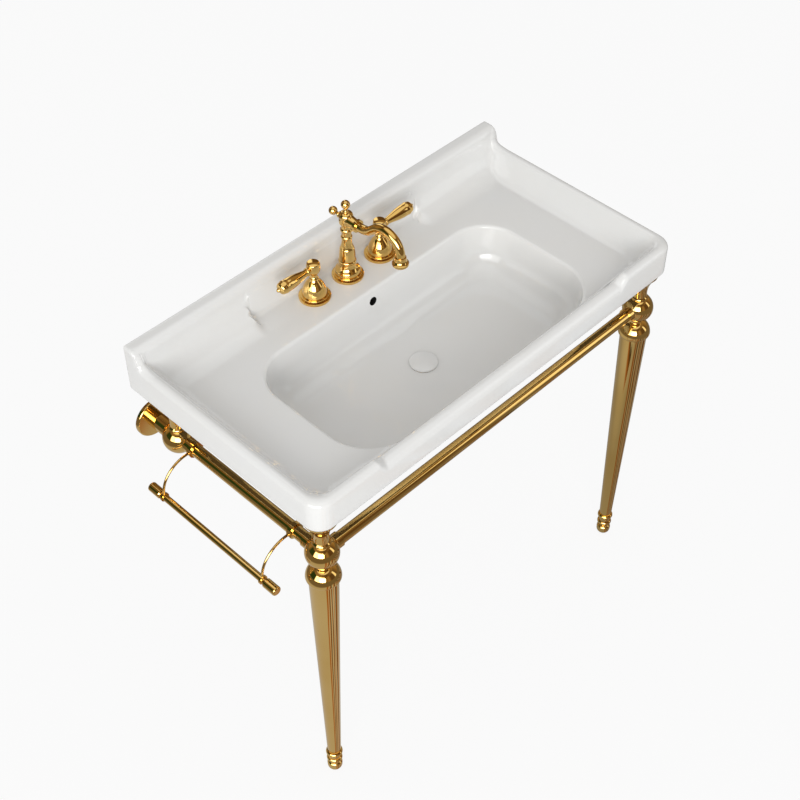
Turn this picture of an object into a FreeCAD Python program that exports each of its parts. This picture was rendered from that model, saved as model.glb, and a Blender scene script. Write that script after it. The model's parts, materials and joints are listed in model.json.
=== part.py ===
import FreeCAD, Part
import math
import os

# Console sink: a ceramic basin on a brass stand with two front legs, a three-hole faucet and a drain.
# Heights are measured from the floor, y = 0 is the wall and the front is towards -Y. Everything is
# moved down at the end, so the origin lies between the two bolt holes that hold the basin to the wall.

V = FreeCAD.Vector

# ---------------------------------------------------------------- basin
BASIN_WIDTH = 1000.0
BASIN_DEPTH = 524.0
APRON_DROP = 74.0          # rim top to the lower edge
DECK_DROP = 48.5           # rim top to the flat deck
RIM_WIDTH = 24.0           # rolled top of the rims
RIM_ROLL = 11.0            # rounding along the rims' outer edge
SIDE_SLOPE = 29.0          # inner slope of the side rims, seen from above
FRONT_SLOPE = 22.0         # inner slope of the front rim, seen from above
FOOT_FILLET = 15.0         # between the inner slopes and the deck
INNER_CORNER = 34.0        # corner radius at the foot of the inner slopes
CORNER_R = 35.0            # outer front corners, seen from above
BACK_CORNER_R = 4.0
LOWER_EDGE_R = 6.0         # rounding along the lower edge
DIP_DEPTH = 15.0           # lowered middle of the front rim
DIP_WIDTH = 676.0
DIP_STEP = 26.0            # length of the ogee at each end of the dip
LIP_RISE = 37.0            # back lip above the rims
LIP_DEPTH = 34.0           # wall to the lip's nose
LIP_NOSE = 16.0            # rounding of the nose
LIP_RUNOUT = 44.0          # hollow curve from the nose down to the rims
LIP_END_R = 7.0            # rounding at the lip's two ends
FAUCET_BAY_WIDTH = 460.0   # bay that is cut back into the cove for the faucet
FAUCET_BAY_BACK = 38.0     # wall to the bay's rear face
FAUCET_BAY_FILLET = 9.0
DECK_THICKNESS = 15.0
APRON_THICKNESS = 15.0
CORNER_PAD_R = 38.0        # flat bosses above the support cups

BOWL_WIDTH = 666.0
BOWL_REAR = 150.0          # wall to the bowl's rear edge
BOWL_DEPTH = 98.5          # deck to the floor of the bowl
BOWL_DRAFT = 12.0          # how far the walls lean in over that depth
BOWL_REAR_CORNER = 85.0
BOWL_FRONT_CORNER = 100.0
BOWL_BOTTOM_R = 55.0
BOWL_WALL = 13.0
BOWL_FALL = 5.0            # fall of the floor towards the drain
BOWL_FALL_R = 110.0        # reach of that fall
OVERFLOW_R = 9.5
OVERFLOW_DROP = 27.5       # deck to the centre of the overflow hole
CHANNEL_WIDTH = 28.0       # overflow channel inside the ceramic
CHANNEL_DEPTH = 12.0
CHANNEL_WALL = 9.0

FIXING_HEIGHT = 845.0      # wall bolt holes above the floor; the whole basin hangs from them
RIM_RISE = 85.0            # wall bolt holes to the top of the side rims
FIXING_SPACING = 280.0
FIXING_HOLE_R = 7.0
SKIRT_WIDTH = 380.0
SKIRT_DROP = 25.0          # skirt below the fixing holes
SKIRT_THICKNESS = 18.0

# ---------------------------------------------------------------- stand
FIT = 0.05                 # radial clearance between a rod or tube and its socket
CORNER_INSET = 40.0        # ball centres inside the basin's sides and front
REAR_BALL_Y = 80.0         # rear ball centres in front of the wall
BALL_R = 33.0
SUPPORT_PAD = 4.0          # rubber between the cup and the basin
CUP_RISE = 101.0           # ball centre to the top of the support cup
CUP_STEM_R = 15.0
CUP_TOP_R = 32.0
CUP_RIM_HEIGHT = 9.0       # straight rim at the top of the cup
CUP_FOOT_R = 17.0          # ring at the foot of the cup
CUP_FOOT_HEIGHT = 7.0
STUD_R = 5.0
STUD_REACH = 14.0          # how near the studs come to the centre of a ball
RAIL_R = 13.25
RAIL_WALL = 1.5
RAIL_REACH = 18.0          # how near the rails come to the centre of a ball
SLEEVE_R = 15.8
SLEEVE_END = 42.0          # ball centre to the end of a sleeve
SCREW_R = 2.0

LEG_TOP_DROP = 76.0        # ball centre to the top of the leg tube
LEG_TOP_R = 29.2
LEG_BOTTOM_R = 14.7
LEG_WALL = 2.0
INSERT_LENGTH = 22.0
NECK_R = 14.5              # neck under the ball
NECK_LENGTH = 7.0
NECK_GROOVE = 1.5
BULB_R = 34.5              # widest ring of the collar on the leg
BULB_RISE = 8.5            # leg top to that ring
FOOT_HEIGHT = 79.0         # floor to the bottom of the leg tube
FOOT_PAD = 2.0
FOOT_BALL_R = 15.8
FOOT_FLAT = 2.0            # how much of the foot's ball is cut away for the pad
FOOT_RING_R = 18.0         # upper ring of the foot
FOOT_SMALL_RING_R = 17.0
FOOT_SPIGOT = 16.0
FOOT_WAIST = 1.5           # how much the foot is turned down between its rings

FLANGE_R = 43.0            # wall flanges
FLANGE_RIM = 9.0
FLANGE_SHELL = 2.5
FLANGE_EDGE_R = 3.0
FLANGE_SLEEVE_R = 19.0
PLATE_R = 36.0
PLATE_THICKNESS = 5.0
PLATE_STUB_R = 9.0
PLATE_HOLE_R = 2.5
PLATE_HOLE_CIRCLE = 52.0
PLATE_HOLES = 3

TOWEL_REAR_ARM = 47.0      # rear ball centre to the rear arm
TOWEL_FRONT_ARM = 73.0     # front ball centre to the front arm
TOWEL_BAR_OUT = 85.0       # rail axis to bar axis, sideways
TOWEL_BAR_DROP = 71.0      # rail axis to bar axis, down
TOWEL_BAR_R = 7.0
TOWEL_BAR_OVERHANG = 40.0  # arm to the end of the cap
TOWEL_CAP_R = 10.0
TOWEL_CAP_LENGTH = 32.0
TOWEL_ARM_R = 2.6
TOWEL_CLAMP_R = 17.5
TOWEL_CLAMP_WIDTH = 9.0
TOWEL_RING_R = 9.5

# ---------------------------------------------------------------- faucet
FAUCET_Y = -81.0
HANDLE_SPACING = 184.0     # between the two handle axes
DECK_HOLE_R = 17.5
SHANK_R = 13.0
SHANK_TOP = 20.0           # deck to the top of a valve's shank, inside the bell
SHANK_DROP = 43.0          # deck to the block under the nut
BLOCK_R = 16.0             # block with the side outlets under the deck
BLOCK_HEIGHT = 30.0
WATERWAY_R = 5.0
OUTLET_R = 8.0             # side outlets of the blocks
OUTLET_REACH = 25.0        # block axis to the face of a side outlet
MIXER_TUBE_R = 5.5
MIXER_TUBE_WALL = 1.5
MIXER_INSERT = 7.0         # how far a mixer tube enters its outlet
INLET_R = 10.4
INLET_LENGTH = 24.0
WASHER_R = 25.0
WASHER_THICKNESS = 3.0
NUT_ACROSS = 41.0
NUT_THICKNESS = 9.0
BASE_R = 33.0
BASE_THICKNESS = 9.0
BASE_STEP_R = 29.0
BASE_EDGE_R = 1.0          # rounding of the flanges' edges

SPOUT_BELL_R = 25.6
SPOUT_SHOULDER_R = 18.4    # where the bell has narrowed to the ring above it
SPOUT_RING_AT = 36.0       # deck to that ring
SPOUT_BODY_R = 16.8        # body above the ring
SPOUT_NECK_R = 10.2
SPOUT_RINGS_AT = 96.0      # deck to the lower of the two rings under the tee
SPOUT_TEE_AT = 145.0       # deck to the axis of the spout's root
SPOUT_TEE_R = 14.2
SPOUT_DOME_AT = 161.5      # deck to the top of the column
SPOUT_PORT_R = 10.0
SPOUT_PORT_REACH = 29.0    # column axis to the face of the port
SPOUT_ROOT_RING_R = 13.5
SPOUT_ROOT_RING = 6.0      # its thickness
SPOUT_TUBE_R = 9.5
SPOUT_TUBE_WALL = 1.5
SPOUT_REACH = 150.0        # column axis to outlet axis
SPOUT_RISE_ANGLE = 42.0    # slope of the tube's long run, in degrees
SPOUT_BEND_R = 40.5
SPOUT_ROOT_RUN = 23.0      # root ring to the corner of the rising run
TUBE_ENTRY = 5.0           # how far the tube enters the outlet bell
OUTLET_BELL_R = 16.5
OUTLET_BELL_HEIGHT = 21.0
OUTLET_MOUTH_R = 14.5
OUTLET_RING_R = 11.8       # ring at the top of the bell
AERATOR_R = 10.5
AERATOR_HEIGHT = 9.0
AERATOR_HOLE_R = 1.5
AERATOR_HOLES = 6          # around the middle one
AERATOR_WALL = 1.5
AERATOR_DISC = 3.0
TOP_FINIAL_R = 9.3
TOP_FINIAL_STEM = 9.0      # dome to the underside of the ball
REAR_FINIAL_R = 9.0
REAR_FINIAL_STEM = 10.5
REAR_PORT_REACH = 17.0     # column axis to the rear face of the tee
FINIAL_STEM_R = 4.5
FINIAL_SPIGOT = 5.0

HANDLE_BELL_R = 25.0
HANDLE_BELL_TOP_R = 8.9
HANDLE_BELL_TOP = 50.0     # deck to the top of the bell
HANDLE_GAP = 0.4           # running gap between the bell and the turning handle
HANDLE_NECK_R = 6.9
HANDLE_NECK = 9.0          # length of the neck under the hub
HUB_R = 13.9
HUB_HEIGHT = 28.5
LEVER_LENGTH = 97.0        # axis to tip
LEVER_ROOT_R = 6.0
LEVER_RING = 6.0           # small ring where the lever leaves the hub
LEVER_END_R = 13.0
STEM_R = 4.0
CARTRIDGE_R = 8.0
STEM_LOW = -10.0           # lower end of the turning stem, from the deck

# ---------------------------------------------------------------- drain
DRAIN_Y = -296.0
DRAIN_HOLE_R = 23.0
DRAIN_FLANGE_R = 28.5
DRAIN_FLANGE = 2.5
DRAIN_TUBE_R = 22.4
DRAIN_TUBE_WALL = 3.2
DRAIN_TUBE_LENGTH = 78.0
DRAIN_NUT_ACROSS = 62.0
DRAIN_NUT = 8.0
GASKET_R = 31.0
GASKET = 3.0
TAIL_R = 16.0
TAIL_WALL = 1.2
TAIL_LENGTH = 60.0
TAIL_INSERT = 12.0
TAIL_RING = 4.0
CAP_R = 29.5
CAP_RISE = 2.5
CAP_EDGE = 4.0
CAP_EDGE_R = 2.0           # rounding of the cap's edge, above and below
CAP_GAP = 0.3
PLUNGER_R = 4.0
PLUNGER_LENGTH = 44.0
GUIDE_WALL = 2.0           # around the plunger
SPIDER_THICKNESS = 4.0
SPIDER_DROP = 30.0         # flange to the guide for the plunger

# ---------------------------------------------------------------- places worked out from the sizes
RIM_TOP = FIXING_HEIGHT + RIM_RISE
LIP_TOP = RIM_TOP + LIP_RISE
DECK_Z = RIM_TOP - DECK_DROP
APRON_Z = RIM_TOP - APRON_DROP
DECK_UNDER = DECK_Z - DECK_THICKNESS
SIDE_FOOT = BASIN_WIDTH / 2 - RIM_WIDTH - SIDE_SLOPE
FRONT_FOOT = BASIN_DEPTH - RIM_WIDTH - FRONT_SLOPE
BOWL_FLOOR = DECK_Z - BOWL_DEPTH
DRAIN_Z = BOWL_FLOOR - BOWL_FALL
BASIN_UNDER = DRAIN_Z - DRAIN_FLANGE - 2 * CHANNEL_WALL - CHANNEL_DEPTH
NOSE_Z = LIP_TOP - LIP_NOSE
COVE_R = NOSE_Z - DECK_Z

BALL_X = BASIN_WIDTH / 2 - CORNER_INSET
FRONT_BALL_Y = -(BASIN_DEPTH - CORNER_INSET)
BACK_BALL_Y = -REAR_BALL_Y
BALL_Z = APRON_Z - SUPPORT_PAD - CUP_RISE
LEG_TOP = BALL_Z - LEG_TOP_DROP
BAR_X = -(BALL_X + TOWEL_BAR_OUT)
BAR_Z = BALL_Z - TOWEL_BAR_DROP
TOWEL_ARM_YS = (BACK_BALL_Y - TOWEL_REAR_ARM, FRONT_BALL_Y + TOWEL_FRONT_ARM)

HANDLE_X = HANDLE_SPACING / 2
HUB_BOTTOM = HANDLE_BELL_TOP + HANDLE_GAP + HANDLE_NECK
BLOCK_TOP = -SHANK_DROP
BLOCK_MIDDLE = -SHANK_DROP - BLOCK_HEIGHT / 2
SIDES = (("left", -1), ("right", 1))


# ---------------------------------------------------------------- helpers
def block(x0, x1, y0, y1, z0, z1):
    return Part.makeBox(x1 - x0, y1 - y0, z1 - z0, V(x0, y0, z0))


def rod(start, direction, radius, length):
    return Part.makeCylinder(radius, length, start, direction)


def outline_face(stops, place):
    """Closed face from stops (a, b) or (a, b, bow); bow lifts the stretch before its stop to the right
    of the way the outline runs, as a share of the stretch's length. place maps (a, b) to a point."""
    edges = []
    loop = list(stops)
    if stops[-1][:2] != stops[0][:2]:
        loop.append(stops[0][:2])
    for start, stop in zip(loop, loop[1:]):
        run = (stop[0] - start[0], stop[1] - start[1])
        first, last = place(start[0], start[1]), place(stop[0], stop[1])
        if len(stop) == 3:
            middle = place((start[0] + stop[0]) / 2 + stop[2] * run[1],
                           (start[1] + stop[1]) / 2 - stop[2] * run[0])
            edges.append(Part.Arc(first, middle, last).toShape())
        else:
            edges.append(Part.makeLine(first, last))
    return Part.Face(Part.Wire(edges))


def level_bow(run, rise):
    """Bow of an arc that is level at its upper or lower end and covers this run and rise."""
    return 0.5 * math.tan(math.atan2(rise, run) / 2)


def bead(radius, low, high):
    """Stops of a rounded ring between two heights."""
    swell = 0.25
    inner = radius - swell * (high - low)
    return [(inner, low), (inner, high, swell)]


def turned(stops):
    """Solid of revolution about Z from (radius, height) stops, listed from the bottom up."""
    face = outline_face(stops, lambda radius, height: V(radius, 0, height))
    return face.revolve(V(0, 0, 0), V(0, 0, 1), 360)


def at(shape, x, y, z):
    moved = shape.copy()
    moved.translate(V(x, y, z))
    return moved


def pointing(shape, direction):
    """Turn a shape made along +Z so that it points in the given direction."""
    turned_shape = shape.copy()
    turned_shape.Placement = FreeCAD.Placement(V(0, 0, 0), FreeCAD.Rotation(V(0, 0, 1), direction))
    return turned_shape


def hexagon(across, z, height, bore_r):
    corner = across / math.sqrt(3)
    points = [V(corner * math.cos(i * math.pi / 3), corner * math.sin(i * math.pi / 3), z) for i in range(7)]
    nut = Part.Face(Part.makePolygon(points)).extrude(V(0, 0, height))
    return nut.cut(rod(V(0, 0, z), V(0, 0, 1), bore_r, height))


def rounded_plan(half_width, front, back, z, front_r, back_r):
    """Closed wire at height z: a rectangle with its own radius at the front and at the back corners."""
    corners = ((-half_width, front, front_r, 180), (half_width, front, front_r, 270),
               (half_width, back, back_r, 0), (-half_width, back, back_r, 90))
    edges = []
    last_end = None
    first_start = None
    for x, y, radius, angle in corners:
        centre = V(x - math.copysign(radius, x), y + (radius if y == front else -radius), z)
        arc = Part.makeCircle(radius, centre, V(0, 0, 1), angle, angle + 90)
        start, end = arc.Vertexes[0].Point, arc.Vertexes[-1].Point
        if last_end:
            edges.append(Part.makeLine(last_end, start))
        else:
            first_start = start
        edges.append(arc)
        last_end = end
    edges.append(Part.makeLine(last_end, first_start))
    return Part.Wire(edges)


def bent_rod(corners, bend_r, radius):
    """Round rod along straight runs joined by tangent arcs of one radius."""
    edges = []
    start = corners[0]
    for before, corner, after in zip(corners, corners[1:], corners[2:]):
        arrive = (corner - before).normalize()
        leave = (after - corner).normalize()
        turn = arrive.getAngle(leave)
        reach = bend_r * math.tan(turn / 2)
        enter, depart = corner - arrive * reach, corner + leave * reach
        inward = (leave - arrive).normalize()
        middle = corner + inward * (bend_r / math.cos(turn / 2) - bend_r)
        edges.append(Part.LineSegment(start, enter).toShape())
        edges.append(Part.Arc(enter, middle, depart).toShape())
        start = depart
    edges.append(Part.LineSegment(start, corners[-1]).toShape())
    path = Part.Wire(edges)
    section = Part.Wire(Part.makeCircle(radius, corners[0], corners[1] - corners[0]))
    solid = path.makePipeShell([section], True, False)
    print("bent rod: volume %.0f, section x length %.0f"
          % (solid.Volume, math.pi * radius ** 2 * path.Length))
    return solid


def together(shapes):
    return Part.makeCompound(shapes)


def one(shapes):
    return shapes[0].multiFuse(shapes[1:]).removeSplitter()


# ---------------------------------------------------------------- basin
def tapered_well(z, top, half_width, front, back, lean, front_r, back_r, fillet):
    """Well with a flat bottom at z whose sides open outward to the height top. lean gives the sideways
    and frontal growth per millimetre of height."""
    side_lean, front_lean = lean
    rise = top - z
    lower = rounded_plan(half_width, front, back, z, front_r, back_r)
    upper = rounded_plan(half_width + side_lean * rise, front - front_lean * rise, back + side_lean * rise,
                         top, front_r + front_lean * rise, back_r + side_lean * rise)
    well = Part.makeLoft([lower, upper], True, True)
    bottom_edges = [edge for edge in well.Edges if edge.BoundBox.ZMax < z + 0.01]
    return well.makeFillet(fillet, bottom_edges)


def ogee_trough(z_low, z_high, half_width, step):
    """Face across X: flat at z_low, with an ogee up to z_high at each end, open above."""
    drop = z_high - z_low
    bow = level_bow(step, drop)
    inner, outer = half_width - step / 2, half_width + step / 2
    stops = [(-inner, z_low), (inner, z_low), (half_width, z_low + drop / 2, bow), (outer, z_high, -bow),
             (outer, z_high + drop), (-outer, z_high + drop), (-outer, z_high),
             (-half_width, z_low + drop / 2, -bow), (-inner, z_low, bow)]
    return outline_face(stops, lambda across, height: V(across, -BASIN_DEPTH, height))


def on_rim_edge(edge):
    """True for the outer top edges of the rims along both sides, the front and its corners."""
    if edge.BoundBox.ZMin < RIM_TOP - DIP_DEPTH - 0.01:
        return False
    middle = edge.discretize(3)[1]
    on_front = middle.y < 0.01 - BASIN_DEPTH
    on_side = abs(middle.x) > BASIN_WIDTH / 2 - 0.01
    in_corner = abs(middle.x) > BASIN_WIDTH / 2 - CORNER_R and middle.y < CORNER_R - BASIN_DEPTH
    return on_front or on_side or in_corner


def basin_block():
    """Apron and rims, with the lowered middle of the front rim and the rolled outer edge."""
    outer_plan = rounded_plan(BASIN_WIDTH / 2, -BASIN_DEPTH, 0, APRON_Z, CORNER_R, BACK_CORNER_R)
    body = Part.Face(outer_plan).extrude(V(0, 0, RIM_TOP - APRON_Z))
    trough = ogee_trough(RIM_TOP - DIP_DEPTH, RIM_TOP, DIP_WIDTH / 2, DIP_STEP)
    body = body.cut(trough.extrude(V(0, RIM_WIDTH + FRONT_SLOPE + FOOT_FILLET, 0)))
    body = body.makeFillet(RIM_ROLL, [edge for edge in body.Edges if on_rim_edge(edge)])
    lower_edges = [edge for edge in body.Edges if edge.BoundBox.ZMax < APRON_Z + 0.01
                   and edge.BoundBox.YMin < -BACK_CORNER_R]
    return body.makeFillet(LOWER_EDGE_R, lower_edges)


def back_lip():
    """Upstand along the wall: a rounded nose, then a hollow curve that runs out on the side rims."""
    nose_y = -LIP_DEPTH
    steep_rise = (NOSE_Z - RIM_TOP) * 2 / 3
    steep_run = steep_rise * 2 / 3
    flat_run = LIP_RUNOUT - steep_run
    face = outline_face(
        [(0, RIM_TOP - RIM_WIDTH), (0, LIP_TOP), (nose_y + LIP_NOSE, LIP_TOP),
         (nose_y, NOSE_Z, level_bow(LIP_NOSE, LIP_NOSE)),
         (nose_y - steep_run, NOSE_Z - steep_rise, -level_bow(steep_rise, steep_run)),
         (nose_y - LIP_RUNOUT, RIM_TOP, -level_bow(flat_run, steep_rise / 2)),
         (nose_y - LIP_RUNOUT, RIM_TOP - RIM_WIDTH)],
        lambda y, z: V(-BASIN_WIDTH / 2, y, z))
    half = BASIN_WIDTH / 2
    round_end = level_bow(LIP_END_R, LIP_END_R)
    rounded = outline_face(
        [(-half, APRON_Z), (half, APRON_Z), (half, LIP_TOP - LIP_END_R),
         (half - LIP_END_R, LIP_TOP, round_end), (LIP_END_R - half, LIP_TOP),
         (-half, LIP_TOP - LIP_END_R, round_end)],
        lambda x, z: V(x, -BASIN_DEPTH, z))
    return face.extrude(V(BASIN_WIDTH, 0, 0)).common(rounded.extrude(V(0, BASIN_DEPTH, 0)))


def deck_recess():
    """Hollow between the rims: flat deck, sloping sides and rounded foot below the rims, and a cove
    along the back that rises between the rims to the lip's nose."""
    lean = SIDE_SLOPE / DECK_DROP, FRONT_SLOPE / DECK_DROP
    past_wall = 2 * CORNER_R
    below = tapered_well(DECK_Z, RIM_TOP, SIDE_FOOT, -FRONT_FOOT, past_wall, lean, INNER_CORNER, INNER_CORNER,
                         FOOT_FILLET)
    cove_foot = -LIP_DEPTH - COVE_R
    past_front = -BASIN_DEPTH - CORNER_R
    before_cove = outline_face(
        [(cove_foot, DECK_Z), (-LIP_DEPTH, NOSE_Z, level_bow(COVE_R, COVE_R)), (past_front, NOSE_Z),
         (past_front, APRON_Z), (cove_foot, APRON_Z)],
        lambda y, z: V(-BASIN_WIDTH, y, z)).extrude(V(2 * BASIN_WIDTH, 0, 0))
    overlap = 1.0
    half = SIDE_FOOT + SIDE_SLOPE - overlap
    above = block(-half, half, past_front, 0, RIM_TOP - overlap, NOSE_Z)
    return [below.common(before_cove), above.common(before_cove)]


def faucet_bay():
    """Cut into the cove, so that the deck reaches further back behind the faucet."""
    foot = -FAUCET_BAY_BACK - FAUCET_BAY_FILLET
    front = -LIP_DEPTH - 2 * COVE_R
    bow = level_bow(FAUCET_BAY_FILLET, FAUCET_BAY_FILLET)
    face = outline_face(
        [(front, DECK_Z), (foot, DECK_Z), (-FAUCET_BAY_BACK, DECK_Z + FAUCET_BAY_FILLET, bow),
         (-FAUCET_BAY_BACK, LIP_TOP), (front, LIP_TOP)],
        lambda y, z: V(-FAUCET_BAY_WIDTH / 2, y, z))
    return face.extrude(V(FAUCET_BAY_WIDTH, 0, 0))


def bowl(offset, top):
    """The bowl's inside, or its outside when offset is the wall's thickness."""
    half_bottom = BOWL_WIDTH / 2 - BOWL_DRAFT + offset
    lean = BOWL_DRAFT / BOWL_DEPTH
    front = BOWL_DRAFT - FRONT_FOOT - offset
    back = -BOWL_REAR - BOWL_DRAFT + offset
    front_r = BOWL_FRONT_CORNER - BOWL_DRAFT + offset
    back_r = BOWL_REAR_CORNER - BOWL_DRAFT + offset
    return tapered_well(BOWL_FLOOR - offset, top, half_bottom, front, back, (lean, lean), front_r, back_r,
                        BOWL_BOTTOM_R + offset)


def overflow_channel(wall):
    """Channel from the overflow hole down behind the bowl and forward to the drain, or the ceramic
    around it when wall is given."""
    half = CHANNEL_WIDTH / 2 + wall
    front = -BOWL_REAR + BOWL_WALL
    back = front + CHANNEL_DEPTH
    low = BASIN_UNDER + CHANNEL_WALL
    high = DECK_Z - OVERFLOW_DROP + OVERFLOW_R + FIT
    down = block(-half, half, front - wall, back + wall, low - wall, high + wall)
    forward = block(-half, half, DRAIN_Y, back + wall, low - wall, low + CHANNEL_DEPTH + wall)
    return down.fuse(forward)


def basin():
    body = one([basin_block(), back_lip()]).cut(deck_recess())
    body = body.cut(faucet_bay()).removeSplitter()
    inside = APRON_THICKNESS
    hollow = rounded_plan(BASIN_WIDTH / 2 - inside, -BASIN_DEPTH + inside, -inside, APRON_Z - 1,
                          CORNER_R - inside, CORNER_R - inside)
    body = body.cut(Part.Face(hollow).extrude(V(0, 0, DECK_UNDER - APRON_Z + 1)))
    up = V(0, 0, 1)
    added = [bowl(BOWL_WALL, DECK_UNDER + FIT), overflow_channel(CHANNEL_WALL)]
    added.append(rod(V(0, DRAIN_Y, BASIN_UNDER), up, DRAIN_FLANGE_R + CHANNEL_WALL / 2,
                     BOWL_FLOOR - BASIN_UNDER))
    added.append(block(-SKIRT_WIDTH / 2, SKIRT_WIDTH / 2, -SKIRT_THICKNESS, 0,
                       FIXING_HEIGHT - SKIRT_DROP, DECK_UNDER + FIT))
    for ball_x in (-BALL_X, BALL_X):
        for ball_y in (FRONT_BALL_Y, BACK_BALL_Y):
            added.append(rod(V(ball_x, ball_y, APRON_Z), up, CORNER_PAD_R, DECK_UNDER - APRON_Z))
    body = one([body] + added)
    drain_seat = DRAIN_Z - DRAIN_FLANGE
    removed = [bowl(0, DECK_Z + FOOT_FILLET / 2), overflow_channel(0)]
    removed.append(at(Part.makeCone(DRAIN_FLANGE_R + FIT, BOWL_FALL_R, BOWL_FALL), 0, DRAIN_Y, DRAIN_Z))
    removed.append(rod(V(0, DRAIN_Y, drain_seat), up, DRAIN_FLANGE_R + FIT, BOWL_DEPTH))
    removed.append(rod(V(0, DRAIN_Y, BASIN_UNDER), up, DRAIN_HOLE_R, BOWL_DEPTH))
    removed.append(rod(V(0, -BOWL_REAR - BOWL_DRAFT, DECK_Z - OVERFLOW_DROP), V(0, 1, 0), OVERFLOW_R,
                       BOWL_DRAFT + BOWL_WALL + CHANNEL_DEPTH / 2))
    for hole_x in (-HANDLE_X, 0, HANDLE_X):
        removed.append(rod(V(hole_x, FAUCET_Y, DECK_UNDER), up, DECK_HOLE_R, DECK_THICKNESS))
    for hole_x in (-FIXING_SPACING / 2, FIXING_SPACING / 2):
        removed.append(rod(V(hole_x, -SKIRT_THICKNESS, FIXING_HEIGHT), V(0, 1, 0), FIXING_HOLE_R,
                           SKIRT_THICKNESS))
    return body.cut(removed)


# ---------------------------------------------------------------- stand
def ball(sockets):
    """Corner ball with a blind socket for each (direction, radius, reach): reach is how near the
    socket's bottom comes to the centre."""
    body = Part.makeSphere(BALL_R)
    for direction, radius, reach in sockets:
        body = body.cut(rod(direction * reach, direction, radius + FIT, BALL_R))
    return body


def front_ball(side):
    rail = RAIL_R, RAIL_REACH
    stud = STUD_R, STUD_REACH
    body = ball([(V(-side, 0, 0), *rail), (V(0, 1, 0), *rail), (V(0, 0, 1), *stud), (V(0, 0, -1), *stud)])
    return at(body, side * BALL_X, FRONT_BALL_Y, BALL_Z)


def rear_ball(side):
    body = ball([(V(0, -1, 0), RAIL_R, RAIL_REACH), (V(0, 1, 0), PLATE_STUB_R, RAIL_REACH),
                 (V(0, 0, 1), STUD_R, STUD_REACH)])
    return at(body, side * BALL_X, BACK_BALL_Y, BALL_Z)


def rail(start, direction, length):
    tube = rod(start, direction, RAIL_R, length)
    return tube.cut(rod(start, direction, RAIL_R - RAIL_WALL, length))


def front_rail():
    half = BALL_X - RAIL_REACH
    return rail(V(-half, FRONT_BALL_Y, BALL_Z), V(1, 0, 0), 2 * half)


def side_rail(side):
    start = FRONT_BALL_Y + RAIL_REACH
    return rail(V(side * BALL_X, start, BALL_Z), V(0, 1, 0), BACK_BALL_Y - RAIL_REACH - start)


def rail_ends():
    """Ball centre and direction of the rail at each of the six rail ends."""
    ends = []
    for name, side in SIDES:
        front = V(side * BALL_X, FRONT_BALL_Y, BALL_Z)
        ends.append((front, V(-side, 0, 0)))
        ends.append((front, V(0, 1, 0)))
        ends.append((V(side * BALL_X, BACK_BALL_Y, BALL_Z), V(0, -1, 0)))
    return ends


def screw_place():
    """Distance from the ball's centre to the set screw, in the middle of the sleeve's free length."""
    return (BALL_R + SLEEVE_END) / 2


def rail_sleeves():
    sleeves = []
    for centre, direction in rail_ends():
        tube = rod(centre, direction, SLEEVE_R, SLEEVE_END)
        screw = rod(centre + direction * screw_place(), V(0, 0, -1), SCREW_R + FIT, 2 * SLEEVE_R)
        tube = tube.cut([rod(centre, direction, RAIL_R + FIT, SLEEVE_END),
                         at(Part.makeSphere(BALL_R), *centre), screw])
        sleeves.append(tube)
    return together(sleeves)


def rail_set_screws():
    screws = []
    for centre, direction in rail_ends():
        start = centre + direction * screw_place() - V(0, 0, RAIL_R)
        screws.append(rod(start, V(0, 0, -1), SCREW_R, SLEEVE_R - RAIL_R))
    return together(screws)


def support_cup():
    """Trumpet-shaped cup that stands on a ball; its foot is hollowed to the ball."""
    proud = CUP_FOOT_R - CUP_STEM_R
    foot = math.sqrt(BALL_R ** 2 - CUP_FOOT_R ** 2) - proud
    ring_top = foot + CUP_FOOT_HEIGHT
    rim = CUP_RISE - CUP_RIM_HEIGHT
    body = turned([(0, foot), (CUP_FOOT_R, foot), (CUP_FOOT_R, ring_top, 0.2), (CUP_STEM_R, ring_top + proud),
                   (CUP_STEM_R, CUP_RISE * 0.42), (CUP_TOP_R - 2, rim - 3, -0.09), (CUP_TOP_R, rim),
                   (CUP_TOP_R, CUP_RISE), (0, CUP_RISE)])
    return body.cut([Part.makeSphere(BALL_R), rod(V(0, 0, 0), V(0, 0, 1), STUD_R + FIT, cup_stud_top())])


def cup_stud_top():
    return BALL_R + CUP_RISE / 3


def cup_stud():
    return rod(V(0, 0, STUD_REACH), V(0, 0, 1), STUD_R, cup_stud_top() - STUD_REACH)


def support_pad():
    return rod(V(0, 0, CUP_RISE), V(0, 0, 1), CUP_TOP_R - 2, SUPPORT_PAD)


def leg_radius(height):
    """Outer radius of the tapered leg tube at a height above the floor."""
    share = (height - FOOT_HEIGHT) / (LEG_TOP - FOOT_HEIGHT)
    return LEG_BOTTOM_R + share * (LEG_TOP_R - LEG_BOTTOM_R)


def leg_tube():
    length = LEG_TOP - FOOT_HEIGHT
    outside = Part.makeCone(LEG_BOTTOM_R, LEG_TOP_R, length, V(0, 0, FOOT_HEIGHT))
    inside = Part.makeCone(LEG_BOTTOM_R - LEG_WALL, LEG_TOP_R - LEG_WALL, length, V(0, 0, FOOT_HEIGHT))
    return outside.cut(inside)


def leg_insert(low):
    """Threaded plug brazed inside the leg tube, from the height low upward."""
    clear = LEG_WALL + FIT
    plug = Part.makeCone(leg_radius(low) - clear, leg_radius(low + INSERT_LENGTH) - clear, INSERT_LENGTH,
                         V(0, 0, low))
    return plug.cut(rod(V(0, 0, low), V(0, 0, 1), STUD_R + FIT, INSERT_LENGTH))


def leg_inserts():
    plugs = []
    for name, side in SIDES:
        for low in (FOOT_HEIGHT, LEG_TOP - INSERT_LENGTH):
            plugs.append(at(leg_insert(low), side * BALL_X, FRONT_BALL_Y, 0))
    return together(plugs)


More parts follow.
